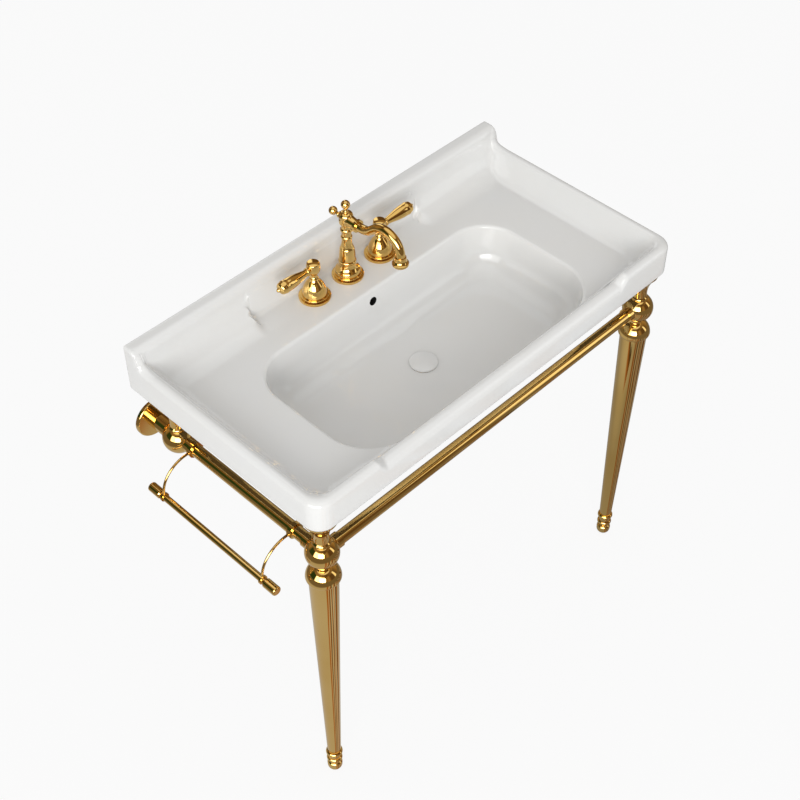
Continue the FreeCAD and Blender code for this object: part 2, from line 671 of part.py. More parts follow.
def leg_collar():
    """Turned collar between the ball and the leg tube, in heights below the ball's centre."""
    neck_top = -math.sqrt(BALL_R ** 2 - NECK_R ** 2) + 1
    neck_foot = 1 - BALL_R - NECK_LENGTH
    widest = BULB_RISE - LEG_TOP_DROP
    groove_r = NECK_R - NECK_GROOVE
    body = turned([(0, -LEG_TOP_DROP), (LEG_TOP_R, -LEG_TOP_DROP), (BULB_R, widest, 0.18),
                   (NECK_R, neck_foot, 0.14),
                   (groove_r, neck_foot + NECK_LENGTH / 4, -0.2), (NECK_R, neck_foot + NECK_LENGTH / 2, 0.3),
                   (NECK_R, neck_top), (0, neck_top)])
    stud_hole = rod(V(0, 0, -LEG_TOP_DROP), V(0, 0, 1), STUD_R + FIT, LEG_TOP_DROP)
    return body.cut([Part.makeSphere(BALL_R), stud_hole])


def leg_stud():
    low = -LEG_TOP_DROP - INSERT_LENGTH
    return rod(V(0, 0, low), V(0, 0, 1), STUD_R, -STUD_REACH - low)


def foot_ball_height():
    """Centre of the foot's ball above the floor; the ball is cut flat above the pad."""
    return FOOT_PAD + FOOT_BALL_R - FOOT_FLAT


def sole_radius():
    return math.sqrt(FOOT_BALL_R ** 2 - (FOOT_BALL_R - FOOT_FLAT) ** 2)


def leg_foot():
    """Turned foot: two rings and a ball, with a spigot up into the leg tube."""
    ball_z = foot_ball_height()
    neck_r = FOOT_BALL_R * 0.62
    neck_z = ball_z + math.sqrt(FOOT_BALL_R ** 2 - neck_r ** 2)
    span = FOOT_HEIGHT - neck_z
    small_z, ring_z = neck_z + span * 0.24, neck_z + span * 0.7
    half = span * 0.1
    waist_r = LEG_BOTTOM_R - FOOT_WAIST
    return turned([(0, FOOT_PAD), (sole_radius(), FOOT_PAD), (FOOT_BALL_R, ball_z, 0.2),
                   (neck_r, neck_z, 0.22), (neck_r, small_z - half)]
                  + bead(FOOT_SMALL_RING_R, small_z - half, small_z + half)
                  + [(waist_r, small_z + half), (waist_r, ring_z - half)]
                  + bead(FOOT_RING_R, ring_z - half, ring_z + half)
                  + [(waist_r, ring_z + half), (LEG_BOTTOM_R, FOOT_HEIGHT), (STUD_R, FOOT_HEIGHT),
                     (STUD_R, FOOT_HEIGHT + FOOT_SPIGOT), (0, FOOT_HEIGHT + FOOT_SPIGOT)])


def foot_pad():
    return rod(V(0, 0, 0), V(0, 0, 1), sole_radius(), FOOT_PAD)


def on_legs(shape, z):
    return together([at(shape, side * BALL_X, FRONT_BALL_Y, z) for name, side in SIDES])


def on_balls(shape):
    return together([at(shape, side * BALL_X, y, BALL_Z) for name, side in SIDES
                     for y in (FRONT_BALL_Y, BACK_BALL_Y)])


def wall_plate():
    """Plate on the wall with a stub that carries the rear ball, made along +Z from the wall."""
    plate = turned([(0, 0), (PLATE_R, 0), (PLATE_R, PLATE_THICKNESS), (PLATE_STUB_R, PLATE_THICKNESS),
                    (PLATE_STUB_R, REAR_BALL_Y - RAIL_REACH), (0, REAR_BALL_Y - RAIL_REACH)])
    holes = []
    for i in range(PLATE_HOLES):
        turn = math.pi / 2 + 2 * math.pi * i / PLATE_HOLES
        centre = V(PLATE_HOLE_CIRCLE / 2 * math.cos(turn), PLATE_HOLE_CIRCLE / 2 * math.sin(turn), 0)
        holes.append(rod(centre, V(0, 0, 1), PLATE_HOLE_R, PLATE_THICKNESS))
    return plate.cut(holes)


def wall_flange():
    """Flat cover over the wall plate with a sleeve up to the rear ball, made along +Z from the wall."""
    shell = FLANGE_SHELL
    inner_sleeve = FLANGE_SLEEVE_R - shell
    outside = turned([(0, 0), (FLANGE_R, 0), (FLANGE_R, FLANGE_RIM - FLANGE_EDGE_R),
                      (FLANGE_R - FLANGE_EDGE_R, FLANGE_RIM, level_bow(1, 1)),
                      (FLANGE_SLEEVE_R, FLANGE_RIM), (FLANGE_SLEEVE_R, REAR_BALL_Y), (0, REAR_BALL_Y)])
    inside = turned([(0, 0), (PLATE_R + FIT, 0), (PLATE_R + FIT, PLATE_THICKNESS + FIT),
                     (inner_sleeve, PLATE_THICKNESS + FIT), (inner_sleeve, REAR_BALL_Y), (0, REAR_BALL_Y)])
    screw = rod(V(0, 0, PLATE_THICKNESS / 2), V(0, -1, 0), SCREW_R + FIT, FLANGE_R)
    return outside.cut([inside, at(Part.makeSphere(BALL_R), 0, 0, REAR_BALL_Y), screw])


def wall_screw():
    return rod(V(0, -PLATE_R, PLATE_THICKNESS / 2), V(0, -1, 0), SCREW_R, FLANGE_R - PLATE_R)


def from_wall(shape, side):
    """Place a piece made along +Z from the wall at a rear ball: Z points out of the wall, Y stays up."""
    turned_shape = shape.copy()
    turned_shape.Placement = FreeCAD.Placement(V(side * BALL_X, 0, BALL_Z), FreeCAD.Rotation(V(1, 0, 0), 90))
    return turned_shape


# ---------------------------------------------------------------- towel bar
def towel_arm(y):
    """Ring clamp on the left rail, curved rod and ring for the bar, brazed into one piece."""
    half = TOWEL_CLAMP_WIDTH / 2
    rail_x = -BALL_X
    ahead = V(0, 1, 0)
    bend = TOWEL_BAR_DROP - TOWEL_RING_R + 1
    curve = bent_rod([V(rail_x - TOWEL_CLAMP_R + 1, y, BALL_Z), V(BAR_X, y, BALL_Z),
                      V(BAR_X, y, BAR_Z + TOWEL_RING_R - 1)], min(bend, TOWEL_BAR_OUT - TOWEL_CLAMP_R) - 1,
                     TOWEL_ARM_R)
    body = one([rod(V(rail_x, y - half, BALL_Z), ahead, TOWEL_CLAMP_R, 2 * half),
                rod(V(BAR_X, y - half / 2, BAR_Z), ahead, TOWEL_RING_R, half), curve])
    return body.cut([rod(V(rail_x, y - half, BALL_Z), ahead, RAIL_R + FIT, 2 * half),
                     rod(V(BAR_X, y - half, BAR_Z), ahead, TOWEL_BAR_R + FIT, 2 * half),
                     rod(V(rail_x, y, BALL_Z), V(0, 0, -1), SCREW_R + FIT, 2 * TOWEL_CLAMP_R)])


def towel_clamp_screws():
    return together([rod(V(-BALL_X, y, BALL_Z - RAIL_R), V(0, 0, -1), SCREW_R, TOWEL_CLAMP_R - RAIL_R)
                     for y in TOWEL_ARM_YS])


def towel_bar_ends():
    return max(TOWEL_ARM_YS) + TOWEL_BAR_OVERHANG, min(TOWEL_ARM_YS) - TOWEL_BAR_OVERHANG


def towel_bar():
    rear, front = towel_bar_ends()
    cap_floor = TOWEL_CAP_LENGTH * 0.25
    return rod(V(BAR_X, front + cap_floor, BAR_Z), V(0, 1, 0), TOWEL_BAR_R, rear - front - 2 * cap_floor)


def towel_bar_caps():
    cap = turned([(0, 0), (TOWEL_CAP_R - 3, 0), (TOWEL_CAP_R, 3, 0.2), (TOWEL_CAP_R, TOWEL_CAP_LENGTH - 2),
                  (TOWEL_CAP_R - 1.5, TOWEL_CAP_LENGTH), (0, TOWEL_CAP_LENGTH)])
    cap = cap.cut(rod(V(0, 0, TOWEL_CAP_LENGTH * 0.25), V(0, 0, 1), TOWEL_BAR_R + FIT, TOWEL_CAP_LENGTH))
    rear, front = towel_bar_ends()
    return together([at(pointing(cap, V(0, 1, 0)), BAR_X, front, BAR_Z),
                     at(pointing(cap, V(0, -1, 0)), BAR_X, rear, BAR_Z)])


# ---------------------------------------------------------------- faucet, in heights above the deck
def faucet_base():
    """Stepped round flange on the deck around a shank."""
    step = BASE_THICKNESS * 0.45
    soft = BASE_EDGE_R
    body = turned([(0, 0), (BASE_R, 0), (BASE_R, step), (BASE_R - soft, step + 0.6 * soft, 0.1),
                   (BASE_STEP_R, step + 0.6 * soft), (BASE_STEP_R, BASE_THICKNESS - soft),
                   (BASE_STEP_R - soft, BASE_THICKNESS, 0.2), (0, BASE_THICKNESS)])
    return body.cut(rod(V(0, 0, 0), V(0, 0, 1), SHANK_R + FIT, BASE_THICKNESS))


def shank(top):
    """Threaded shank through the deck, with the wider block under the nut."""
    return turned([(0, BLOCK_TOP - BLOCK_HEIGHT), (BLOCK_R, BLOCK_TOP - BLOCK_HEIGHT), (BLOCK_R, BLOCK_TOP),
                   (SHANK_R, BLOCK_TOP), (SHANK_R, top), (0, top)])


def side_outlet(direction):
    return rod(V(0, 0, BLOCK_MIDDLE), V(direction, 0, 0), OUTLET_R, OUTLET_REACH)


def tube_socket(direction):
    """Bore of a side outlet: a seat for the mixer tube and the waterway behind it."""
    seat = V(direction * (OUTLET_REACH - MIXER_INSERT), 0, BLOCK_MIDDLE)
    return [rod(seat, V(direction, 0, 0), MIXER_TUBE_R + FIT, MIXER_INSERT),
            rod(V(0, 0, BLOCK_MIDDLE), V(direction, 0, 0), WATERWAY_R - 1, OUTLET_REACH)]


def spout_column():
    """Bell, ring, tapering body, two rings and the tee that carries the tube, with the shank below."""
    ring = SPOUT_RING_AT
    body_low = ring + 9
    low = SPOUT_RINGS_AT
    stops = [(0, BASE_THICKNESS), (SPOUT_BELL_R, BASE_THICKNESS), (SPOUT_BELL_R - 1, ring * 0.55, 0.12),
             (SPOUT_SHOULDER_R - 1, ring, -0.12)]
    stops += bead(SPOUT_SHOULDER_R, ring, ring + 7)
    stops += [(SPOUT_BODY_R - 1.5, ring + 7), (SPOUT_BODY_R, body_low, 0.2),
              (SPOUT_BODY_R - 2, ring * 2, 0.02), (SPOUT_NECK_R, low - 6, -0.05), (SPOUT_NECK_R, low)]
    stops += bead(SPOUT_NECK_R + 1.6, low, low + 8)
    stops += [(SPOUT_NECK_R - 0.4, low + 10, -0.1), (SPOUT_NECK_R - 0.4, low + 17)]
    stops += bead(SPOUT_NECK_R + 2.4, low + 17, low + 27)
    stops += [(SPOUT_NECK_R, low + 27), (SPOUT_NECK_R, low + 30),
              (SPOUT_TEE_R, SPOUT_TEE_AT - SPOUT_TEE_R + 5, -0.15), (SPOUT_TEE_R, SPOUT_TEE_AT + 4, 0.03),
              (FINIAL_STEM_R + 2, SPOUT_DOME_AT, 0.25), (0, SPOUT_DOME_AT)]
    back = V(0, REAR_PORT_REACH, SPOUT_TEE_AT)
    body = one([turned(stops), shank(BASE_THICKNESS), side_outlet(-1), side_outlet(1),
                Part.makeCone(SPOUT_TEE_R, SPOUT_PORT_R, SPOUT_PORT_REACH, V(0, 0, SPOUT_TEE_AT), V(0, -1, 0)),
                rod(V(0, 0, SPOUT_TEE_AT), V(0, 1, 0), FINIAL_STEM_R + 2, REAR_PORT_REACH)])
    bores = tube_socket(-1) + tube_socket(1)
    bores.append(rod(V(0, 0, BLOCK_MIDDLE), V(0, 0, 1), WATERWAY_R, SPOUT_TEE_AT - BLOCK_MIDDLE))
    bores.append(rod(V(0, 0, SPOUT_TEE_AT), V(0, -1, 0), WATERWAY_R, SPOUT_PORT_REACH))
    bores.append(rod(back, V(0, -1, 0), FINIAL_STEM_R / 1.5 + FIT, FINIAL_SPIGOT))
    bores.append(rod(V(0, 0, SPOUT_DOME_AT), V(0, 0, -1), FINIAL_STEM_R / 1.5 + FIT, FINIAL_SPIGOT))
    return body.cut(bores)


def spout_path():
    """Corner points of the tube's centre line, from the column's port down into the outlet bell."""
    angle = math.radians(SPOUT_RISE_ANGLE)
    root = -SPOUT_PORT_REACH
    foot = root - SPOUT_ROOT_RING - SPOUT_ROOT_RUN
    peak = SPOUT_TEE_AT + (SPOUT_REACH + foot) * math.tan(angle)
    return [V(0, root, SPOUT_TEE_AT), V(0, foot, SPOUT_TEE_AT), V(0, -SPOUT_REACH, peak),
            V(0, -SPOUT_REACH, outlet_top() - TUBE_ENTRY)]


def outlet_top():
    """Height at which the tube's bend ends and the outlet bell begins."""
    angle = math.radians(SPOUT_RISE_ANGLE)
    run = SPOUT_REACH - SPOUT_PORT_REACH - SPOUT_ROOT_RING - SPOUT_ROOT_RUN
    peak = SPOUT_TEE_AT + run * math.tan(angle)
    return peak - SPOUT_BEND_R * math.tan((math.pi / 2 + angle) / 2)


def spout_tube():
    """Bent tube with its root ring, from the column's port to the outlet bell."""
    ring = rod(V(0, -SPOUT_PORT_REACH, SPOUT_TEE_AT), V(0, -1, 0), SPOUT_ROOT_RING_R, SPOUT_ROOT_RING)
    inner = bent_rod(spout_path(), SPOUT_BEND_R, SPOUT_TUBE_R - SPOUT_TUBE_WALL)
    return one([ring, bent_rod(spout_path(), SPOUT_BEND_R, SPOUT_TUBE_R)]).cut(inner)


def spout_outlet():
    """Bell at the end of the tube, with a socket for the tube and a seat for the aerator below it."""
    height = OUTLET_BELL_HEIGHT
    ring_low = height - TUBE_ENTRY
    body = turned([(0, 0), (OUTLET_MOUTH_R, 0), (OUTLET_BELL_R, height * 0.2, 0.2),
                   (OUTLET_BELL_R, height * 0.32), (OUTLET_RING_R - 1, ring_low - 1, -0.14),
                   (OUTLET_RING_R, ring_low), (OUTLET_RING_R, height - 1.2),
                   (OUTLET_RING_R - 1, height, 0.2), (0, height)])
    axis = V(0, 0, 1)
    body = body.cut([rod(V(0, 0, 0), axis, AERATOR_R + FIT, AERATOR_HEIGHT),
                     rod(V(0, 0, 0), axis, SPOUT_TUBE_R - SPOUT_TUBE_WALL, height),
                     rod(V(0, 0, height - TUBE_ENTRY), axis, SPOUT_TUBE_R + FIT, TUBE_ENTRY)])
    return at(body, 0, -SPOUT_REACH, outlet_top() - height)


def aerator():
    """Short ring with a perforated disc across it, flush with the mouth of the outlet."""
    body = rod(V(0, 0, 0), V(0, 0, 1), AERATOR_R, AERATOR_HEIGHT)
    body = body.cut(rod(V(0, 0, 0), V(0, 0, 1), AERATOR_R - AERATOR_WALL, AERATOR_HEIGHT - AERATOR_DISC))
    holes = [rod(V(0, 0, 0), V(0, 0, 1), AERATOR_HOLE_R, AERATOR_HEIGHT)]
    for i in range(AERATOR_HOLES):
        turn = 2 * math.pi * i / AERATOR_HOLES
        centre = V(AERATOR_R / 2 * math.cos(turn), AERATOR_R / 2 * math.sin(turn), 0)
        holes.append(rod(centre, V(0, 0, 1), AERATOR_HOLE_R, AERATOR_HEIGHT))
    return at(body.cut(holes), 0, -SPOUT_REACH, outlet_top() - OUTLET_BELL_HEIGHT)


def finial(ball_r, stem):
    """Ball on a stem with a small collar, made along +Z from the face that it screws into."""
    spigot_r = FINIAL_STEM_R / 1.5
    ball_z = stem + ball_r
    neck = math.sqrt(ball_r ** 2 - (FINIAL_STEM_R - 1) ** 2)
    body = turned([(0, -FINIAL_SPIGOT), (spigot_r, -FINIAL_SPIGOT), (spigot_r, 0), (FINIAL_STEM_R + 1.5, 0),
                   (FINIAL_STEM_R + 1.5, stem * 0.3, 0.3), (FINIAL_STEM_R - 1, stem * 0.6, -0.15),
                   (FINIAL_STEM_R - 1, ball_z - neck), (0, ball_z - neck)])
    return one([body, at(Part.makeSphere(ball_r), 0, 0, ball_z)])


def spout_finial_top():
    return at(finial(TOP_FINIAL_R, TOP_FINIAL_STEM), 0, 0, SPOUT_DOME_AT)


def spout_finial_rear():
    backward = pointing(finial(REAR_FINIAL_R, REAR_FINIAL_STEM), V(0, 1, 0))
    return at(backward, 0, REAR_PORT_REACH, SPOUT_TEE_AT)


def handle_base():
    """Stepped flange and bell over the valve, hollow inside."""
    base = faucet_base()
    ring_low = HANDLE_BELL_TOP - 3
    bell = turned([(0, BASE_THICKNESS), (HANDLE_BELL_R, BASE_THICKNESS),
                   (HANDLE_BELL_R, BASE_THICKNESS + 4, 0.05),
                   (HANDLE_BELL_TOP_R + 2, HANDLE_BELL_TOP * 0.88, 0.09), (HANDLE_BELL_TOP_R, ring_low)]
                  + bead(HANDLE_BELL_TOP_R + 0.6, ring_low, HANDLE_BELL_TOP) + [(0, HANDLE_BELL_TOP)])
    axis = V(0, 0, 1)
    body = one([base, bell])
    return body.cut([rod(V(0, 0, 0), axis, SHANK_R + FIT, SHANK_TOP + 1),
                     rod(V(0, 0, 0), axis, CARTRIDGE_R + FIT, HANDLE_BELL_TOP)])


def valve_body(inward):
    """Valve with its shank, side outlet, inlet below and the bore in which the stem turns."""
    low = BLOCK_TOP - BLOCK_HEIGHT
    inlet = rod(V(0, 0, low), V(0, 0, -1), INLET_R, INLET_LENGTH)
    cartridge = rod(V(0, 0, SHANK_TOP), V(0, 0, 1), CARTRIDGE_R, HANDLE_BELL_TOP - SHANK_TOP)
    body = one([shank(SHANK_TOP), cartridge, inlet, side_outlet(inward)])
    bores = tube_socket(inward)
    bores.append(rod(V(0, 0, low - INLET_LENGTH), V(0, 0, 1), WATERWAY_R, BLOCK_HEIGHT / 2 + INLET_LENGTH))
    bores.append(rod(V(0, 0, STEM_LOW), V(0, 0, 1), STEM_R + FIT, HANDLE_BELL_TOP - STEM_LOW))
    return body.cut(bores)


def valve_stem():
    top = HUB_BOTTOM + HUB_HEIGHT / 2
    return rod(V(0, 0, STEM_LOW), V(0, 0, 1), STEM_R, top - STEM_LOW)


def handle(outward):
    """Neck, barrel hub and swelling lever with a blunt nib, in one piece."""
    neck_low = HANDLE_BELL_TOP + HANDLE_GAP
    hub_top = HUB_BOTTOM + HUB_HEIGHT
    hub = turned([(0, neck_low), (HANDLE_NECK_R + 1, neck_low), (HANDLE_NECK_R + 1, neck_low + 2, 0.2),
                  (HANDLE_NECK_R, neck_low + 4), (HANDLE_NECK_R, HUB_BOTTOM - 2),
                  (HUB_R - 3, HUB_BOTTOM + 4, -0.1), (HUB_R, hub_top - 8, 0.08), (HUB_R - 0.5, hub_top - 3, 0.04),
                  (HUB_R - 2.2, hub_top, 0.15), (0, hub_top)])
    span = LEVER_LENGTH - HUB_R
    swell = HUB_R + 0.76 * span
    nib_r = LEVER_END_R * 0.4
    nib_low = HUB_R + 0.93 * span
    ring = LEVER_RING / 2
    lever = turned([(0, 0), (LEVER_ROOT_R, 0), (LEVER_ROOT_R, HUB_R), (LEVER_ROOT_R + 2, HUB_R + ring, 0.25),
                    (LEVER_ROOT_R, HUB_R + 2 * ring, 0.25), (LEVER_END_R, swell, -0.04),
                    (nib_r, nib_low, 0.2), (0, LEVER_LENGTH, level_bow(nib_r, LEVER_LENGTH - nib_low))])
    lever = at(pointing(lever, V(outward, 0, 0)), 0, 0, HUB_BOTTOM + HUB_HEIGHT / 2)
    stem_hole = rod(V(0, 0, neck_low), V(0, 0, 1), STEM_R + FIT, HUB_BOTTOM + HUB_HEIGHT / 2 - neck_low)
    return one([hub, lever]).cut(stem_hole)


def deck_washer():
    washer = rod(V(0, 0, -DECK_THICKNESS - WASHER_THICKNESS), V(0, 0, 1), WASHER_R, WASHER_THICKNESS)
    return washer.cut(rod(V(0, 0, -SHANK_DROP), V(0, 0, 1), SHANK_R + FIT, SHANK_DROP))


def deck_nut():
    low = -DECK_THICKNESS - WASHER_THICKNESS - NUT_THICKNESS
    return hexagon(NUT_ACROSS, low, NUT_THICKNESS, SHANK_R + FIT)


def mixer_tubes():
    """One rigid tube from each valve's side outlet to the spout's."""
    start = OUTLET_REACH - MIXER_INSERT
    tubes = []
    for name, side in SIDES:
        place, direction = V(side * start, 0, BLOCK_MIDDLE), V(side, 0, 0)
        tube = rod(place, direction, MIXER_TUBE_R, HANDLE_X - 2 * start)
        tubes.append(tube.cut(rod(place, direction, MIXER_TUBE_R - MIXER_TUBE_WALL, HANDLE_X - 2 * start)))
    return together(tubes)


def in_holes(shape):
    return together([shape_at_hole(shape, hole) for hole in (-1, 0, 1)])


def shape_at_hole(shape, hole):
    """Place a piece of the faucet at the middle hole (0) or at the left (-1) or right (1) one."""
    return at(shape, hole * HANDLE_X, FAUCET_Y, DECK_Z)


# ---------------------------------------------------------------- drain, in heights above its flange
def drain_body():
    """Flanged tube through the bowl's floor, with a cross that guides the plunger."""
    low = DRAIN_FLANGE - DRAIN_TUBE_LENGTH
    bore = DRAIN_TUBE_R - DRAIN_TUBE_WALL
    body = turned([(0, low), (DRAIN_TUBE_R, low), (DRAIN_TUBE_R, 0), (DRAIN_FLANGE_R, 0),
                   (DRAIN_FLANGE_R, DRAIN_FLANGE - 1), (DRAIN_FLANGE_R - 1, DRAIN_FLANGE, 0.2),
                   (0, DRAIN_FLANGE)])
    body = body.cut(rod(V(0, 0, low), V(0, 0, 1), bore, DRAIN_TUBE_LENGTH))
    spider_low = -SPIDER_DROP
    arm = SPIDER_THICKNESS / 2
    bars = [block(-bore - 1, bore + 1, -arm, arm, spider_low, spider_low + SPIDER_THICKNESS),
            block(-arm, arm, -bore - 1, bore + 1, spider_low, spider_low + SPIDER_THICKNESS),
            rod(V(0, 0, spider_low), V(0, 0, 1), PLUNGER_R + GUIDE_WALL, SPIDER_THICKNESS * 2)]
    body = one([body] + bars)
    channel_z = BASIN_UNDER + CHANNEL_WALL + CHANNEL_DEPTH / 2 - drain_seat()
    slot = rod(V(0, 0, channel_z), V(0, 1, 0), CHANNEL_DEPTH / 2 - 1, DRAIN_FLANGE_R)
    guide = rod(V(0, 0, spider_low), V(0, 0, 1), PLUNGER_R + FIT, SPIDER_THICKNESS * 2)
    return body.cut([guide, slot])


def drain_seat():
    """Height of the flange's underside above the floor."""
    return DRAIN_Z - DRAIN_FLANGE


def drain_gasket():
    low = BASIN_UNDER - GASKET
    ring = rod(V(0, DRAIN_Y, low), V(0, 0, 1), GASKET_R, GASKET)
    return ring.cut(rod(V(0, DRAIN_Y, low), V(0, 0, 1), DRAIN_TUBE_R + FIT, GASKET))


def drain_nut():
    nut = hexagon(DRAIN_NUT_ACROSS, -GASKET - DRAIN_NUT, DRAIN_NUT, DRAIN_TUBE_R + FIT)
    return at(nut, 0, DRAIN_Y, BASIN_UNDER)


def tailpiece():
    """Tube below the drain body, with a stop ring under it."""
    low = drain_seat() + DRAIN_FLANGE - DRAIN_TUBE_LENGTH
    bore = DRAIN_TUBE_R - DRAIN_TUBE_WALL
    tube = turned([(0, -TAIL_LENGTH), (TAIL_R, -TAIL_LENGTH), (TAIL_R, -TAIL_RING),
                   (DRAIN_TUBE_R, -TAIL_RING), (DRAIN_TUBE_R, 0), (bore - FIT, 0), (bore - FIT, TAIL_INSERT),
                   (0, TAIL_INSERT)])
    tube = tube.cut(rod(V(0, 0, -TAIL_LENGTH), V(0, 0, 1), TAIL_R - TAIL_WALL, TAIL_LENGTH + TAIL_INSERT))
    return at(tube, 0, DRAIN_Y, low)


def drain_cap():
    """Ceramic cap over the drain with a rounded edge and a hole for the plunger's top."""
    inner = CAP_R - CAP_EDGE_R
    corner = level_bow(1, 1)
    cap = turned([(0, 0), (inner, 0), (CAP_R, CAP_EDGE_R, corner), (inner, CAP_EDGE, corner),
                  (0, CAP_EDGE + CAP_RISE, level_bow(inner, CAP_RISE))])
    cap = cap.cut(rod(V(0, 0, 0), V(0, 0, 1), PLUNGER_R / 2 + FIT, CAP_EDGE))
    return at(cap, 0, DRAIN_Y, DRAIN_Z + CAP_GAP)


def drain_plunger():
    plunger = turned([(0, -PLUNGER_LENGTH), (PLUNGER_R, -PLUNGER_LENGTH), (PLUNGER_R, 0), (PLUNGER_R / 2, 0),
                      (PLUNGER_R / 2, CAP_EDGE), (0, CAP_EDGE)])
    return at(plunger, 0, DRAIN_Y, DRAIN_Z + CAP_GAP)


# ---------------------------------------------------------------- the whole part
def pieces():
    """Every node's name and its shape."""
    nodes = {"basin": basin(), "front_rail": front_rail()}
    for name, side in SIDES:
        nodes["front_leg_" + name] = at(leg_tube(), side * BALL_X, FRONT_BALL_Y, 0)
        nodes["leg_collar_" + name] = at(leg_collar(), side * BALL_X, FRONT_BALL_Y, BALL_Z)
        nodes["leg_foot_" + name] = at(leg_foot(), side * BALL_X, FRONT_BALL_Y, 0)
        nodes["ball_front_" + name] = front_ball(side)
        nodes["ball_rear_" + name] = rear_ball(side)
        nodes["support_cup_front_" + name] = at(support_cup(), side * BALL_X, FRONT_BALL_Y, BALL_Z)
        nodes["support_cup_rear_" + name] = at(support_cup(), side * BALL_X, BACK_BALL_Y, BALL_Z)
        nodes["side_rail_" + name] = side_rail(side)
        nodes["wall_flange_" + name] = from_wall(wall_flange(), side)
        nodes["handle_base_" + name] = shape_at_hole(handle_base(), side)
        nodes["valve_body_" + name] = shape_at_hole(valve_body(-side), side)
        nodes["valve_stem_" + name] = shape_at_hole(valve_stem(), side)
        nodes["handle_" + name] = shape_at_hole(handle(side), side)
    nodes["foot_pads"] = on_legs(foot_pad(), 0)
    nodes["leg_studs"] = on_legs(leg_stud(), BALL_Z)
    nodes["leg_inserts"] = leg_inserts()
    nodes["cup_studs"] = on_balls(cup_stud())
    nodes["support_pads"] = on_balls(support_pad())
    nodes["rail_sleeves"] = rail_sleeves()
    nodes["rail_set_screws"] = rail_set_screws()
    nodes["wall_plates"] = together([from_wall(wall_plate(), side) for name, side in SIDES])
    nodes["wall_flange_screws"] = together([from_wall(wall_screw(), side) for name, side in SIDES])
    for name, y in zip(("rear", "front"), TOWEL_ARM_YS):
        nodes["towel_arm_" + name] = towel_arm(y)
    nodes["towel_bar"] = towel_bar()
    nodes["towel_bar_caps"] = towel_bar_caps()
    nodes["towel_clamp_screws"] = towel_clamp_screws()
    nodes["spout_base"] = shape_at_hole(faucet_base(), 0)
    nodes["spout_column"] = shape_at_hole(spout_column(), 0)
    nodes["spout_tube"] = shape_at_hole(spout_tube(), 0)
    nodes["spout_outlet"] = shape_at_hole(spout_outlet(), 0)
    nodes["aerator"] = shape_at_hole(aerator(), 0)
    nodes["spout_finial_top"] = shape_at_hole(spout_finial_top(), 0)
    nodes["spout_finial_rear"] = shape_at_hole(spout_finial_rear(), 0)
    nodes["faucet_washers"] = in_holes(deck_washer())
    nodes["faucet_nuts"] = in_holes(deck_nut())
    nodes["mixer_tubes"] = shape_at_hole(mixer_tubes(), 0)
    nodes["drain_body"] = at(drain_body(), 0, DRAIN_Y, drain_seat())
    nodes["drain_gasket"] = drain_gasket()
    nodes["drain_nut"] = drain_nut()
    nodes["tailpiece"] = tailpiece()
    nodes["drain_cap"] = drain_cap()
    nodes["drain_plunger"] = drain_plunger()
    return nodes


def main():
    os.makedirs("parts", exist_ok=True)
    for name, shape in pieces().items():
        placed = at(shape, 0, 0, -FIXING_HEIGHT)
        if not placed.isValid() or not placed.Solids:
            raise ValueError("bad shape: " + name)
        print("%-26s %2d solids %12.0f mm3" % (name, len(placed.Solids), placed.Volume))
        placed.exportStep("parts/%s.step" % name)


main()
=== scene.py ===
import json
import math

import bpy
import numpy as np
from bpy.props import FloatProperty, FloatVectorProperty, PointerProperty
from bpy.types import Operator, Panel, PropertyGroup
from mathutils import Matrix, Vector


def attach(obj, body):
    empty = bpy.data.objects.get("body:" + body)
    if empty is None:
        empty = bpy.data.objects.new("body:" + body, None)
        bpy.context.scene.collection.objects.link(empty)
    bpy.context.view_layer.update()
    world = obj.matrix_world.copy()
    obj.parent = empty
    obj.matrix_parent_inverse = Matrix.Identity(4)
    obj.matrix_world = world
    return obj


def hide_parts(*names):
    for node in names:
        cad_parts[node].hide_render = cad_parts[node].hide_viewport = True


bl_info = {
    "name": "Console Sink",
    "version": (1, 0, 0),
    "blender": (4, 5, 0),
    "location": "View3D > Sidebar > Console Sink",
    "description": "Ceramic basin on a polished brass stand, with its faucet, drain and studio",
    "category": "Object",
}

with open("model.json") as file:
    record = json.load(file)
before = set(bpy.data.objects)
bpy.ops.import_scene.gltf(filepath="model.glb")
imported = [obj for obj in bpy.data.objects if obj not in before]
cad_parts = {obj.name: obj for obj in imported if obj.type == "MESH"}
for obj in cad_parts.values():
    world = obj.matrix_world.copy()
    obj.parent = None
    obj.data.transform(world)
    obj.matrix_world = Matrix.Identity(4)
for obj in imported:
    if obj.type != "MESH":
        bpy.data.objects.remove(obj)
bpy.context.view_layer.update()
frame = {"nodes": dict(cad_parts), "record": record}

STAND = "stand_and_basin"
SIDES = (("left", -1), ("right", 1))

# places and thicknesses in metres; zero is on the wall, midway between the two wall bolts
FLOOR_Z = -0.8455
LEG_X, LEG_Y, REAR_CUP_Y = 0.460, -0.484, -0.080
FAUCET_Y, FAUCET_SPACING, FAUCET_HOLE_R = -0.081, 0.092, 0.0175
FIXING_X, FIXING_HOLE_R = 0.140, 0.007
DRAIN = (0.0, -0.296)
DRAIN_SEAT_R, DRAIN_SEAT_DEPTH, DRAIN_HOLE_R = 0.0286, 0.0025, 0.023
DRAIN_BOSS_R, DRAIN_BOSS_LOW = 0.033, -0.0995
OVERFLOW_DROP, OVERFLOW_R = 0.0275, 0.0095
PAD_R = 0.033
DECK_WALL, APRON_WALL, BOWL_WALL = 0.015, 0.015, 0.013
CLEAR, PAD_CLEAR = 0.0005, 0.0004    # keep the faces of a boolean's tool off those of the basin
REACH_IN = 0.005          # how far a block under the deck reaches into it


# -------- sizes and colours
def length(name, description, default):
    return FloatProperty(name=name, description=description, default=default, subtype="DISTANCE",
                         unit="LENGTH")


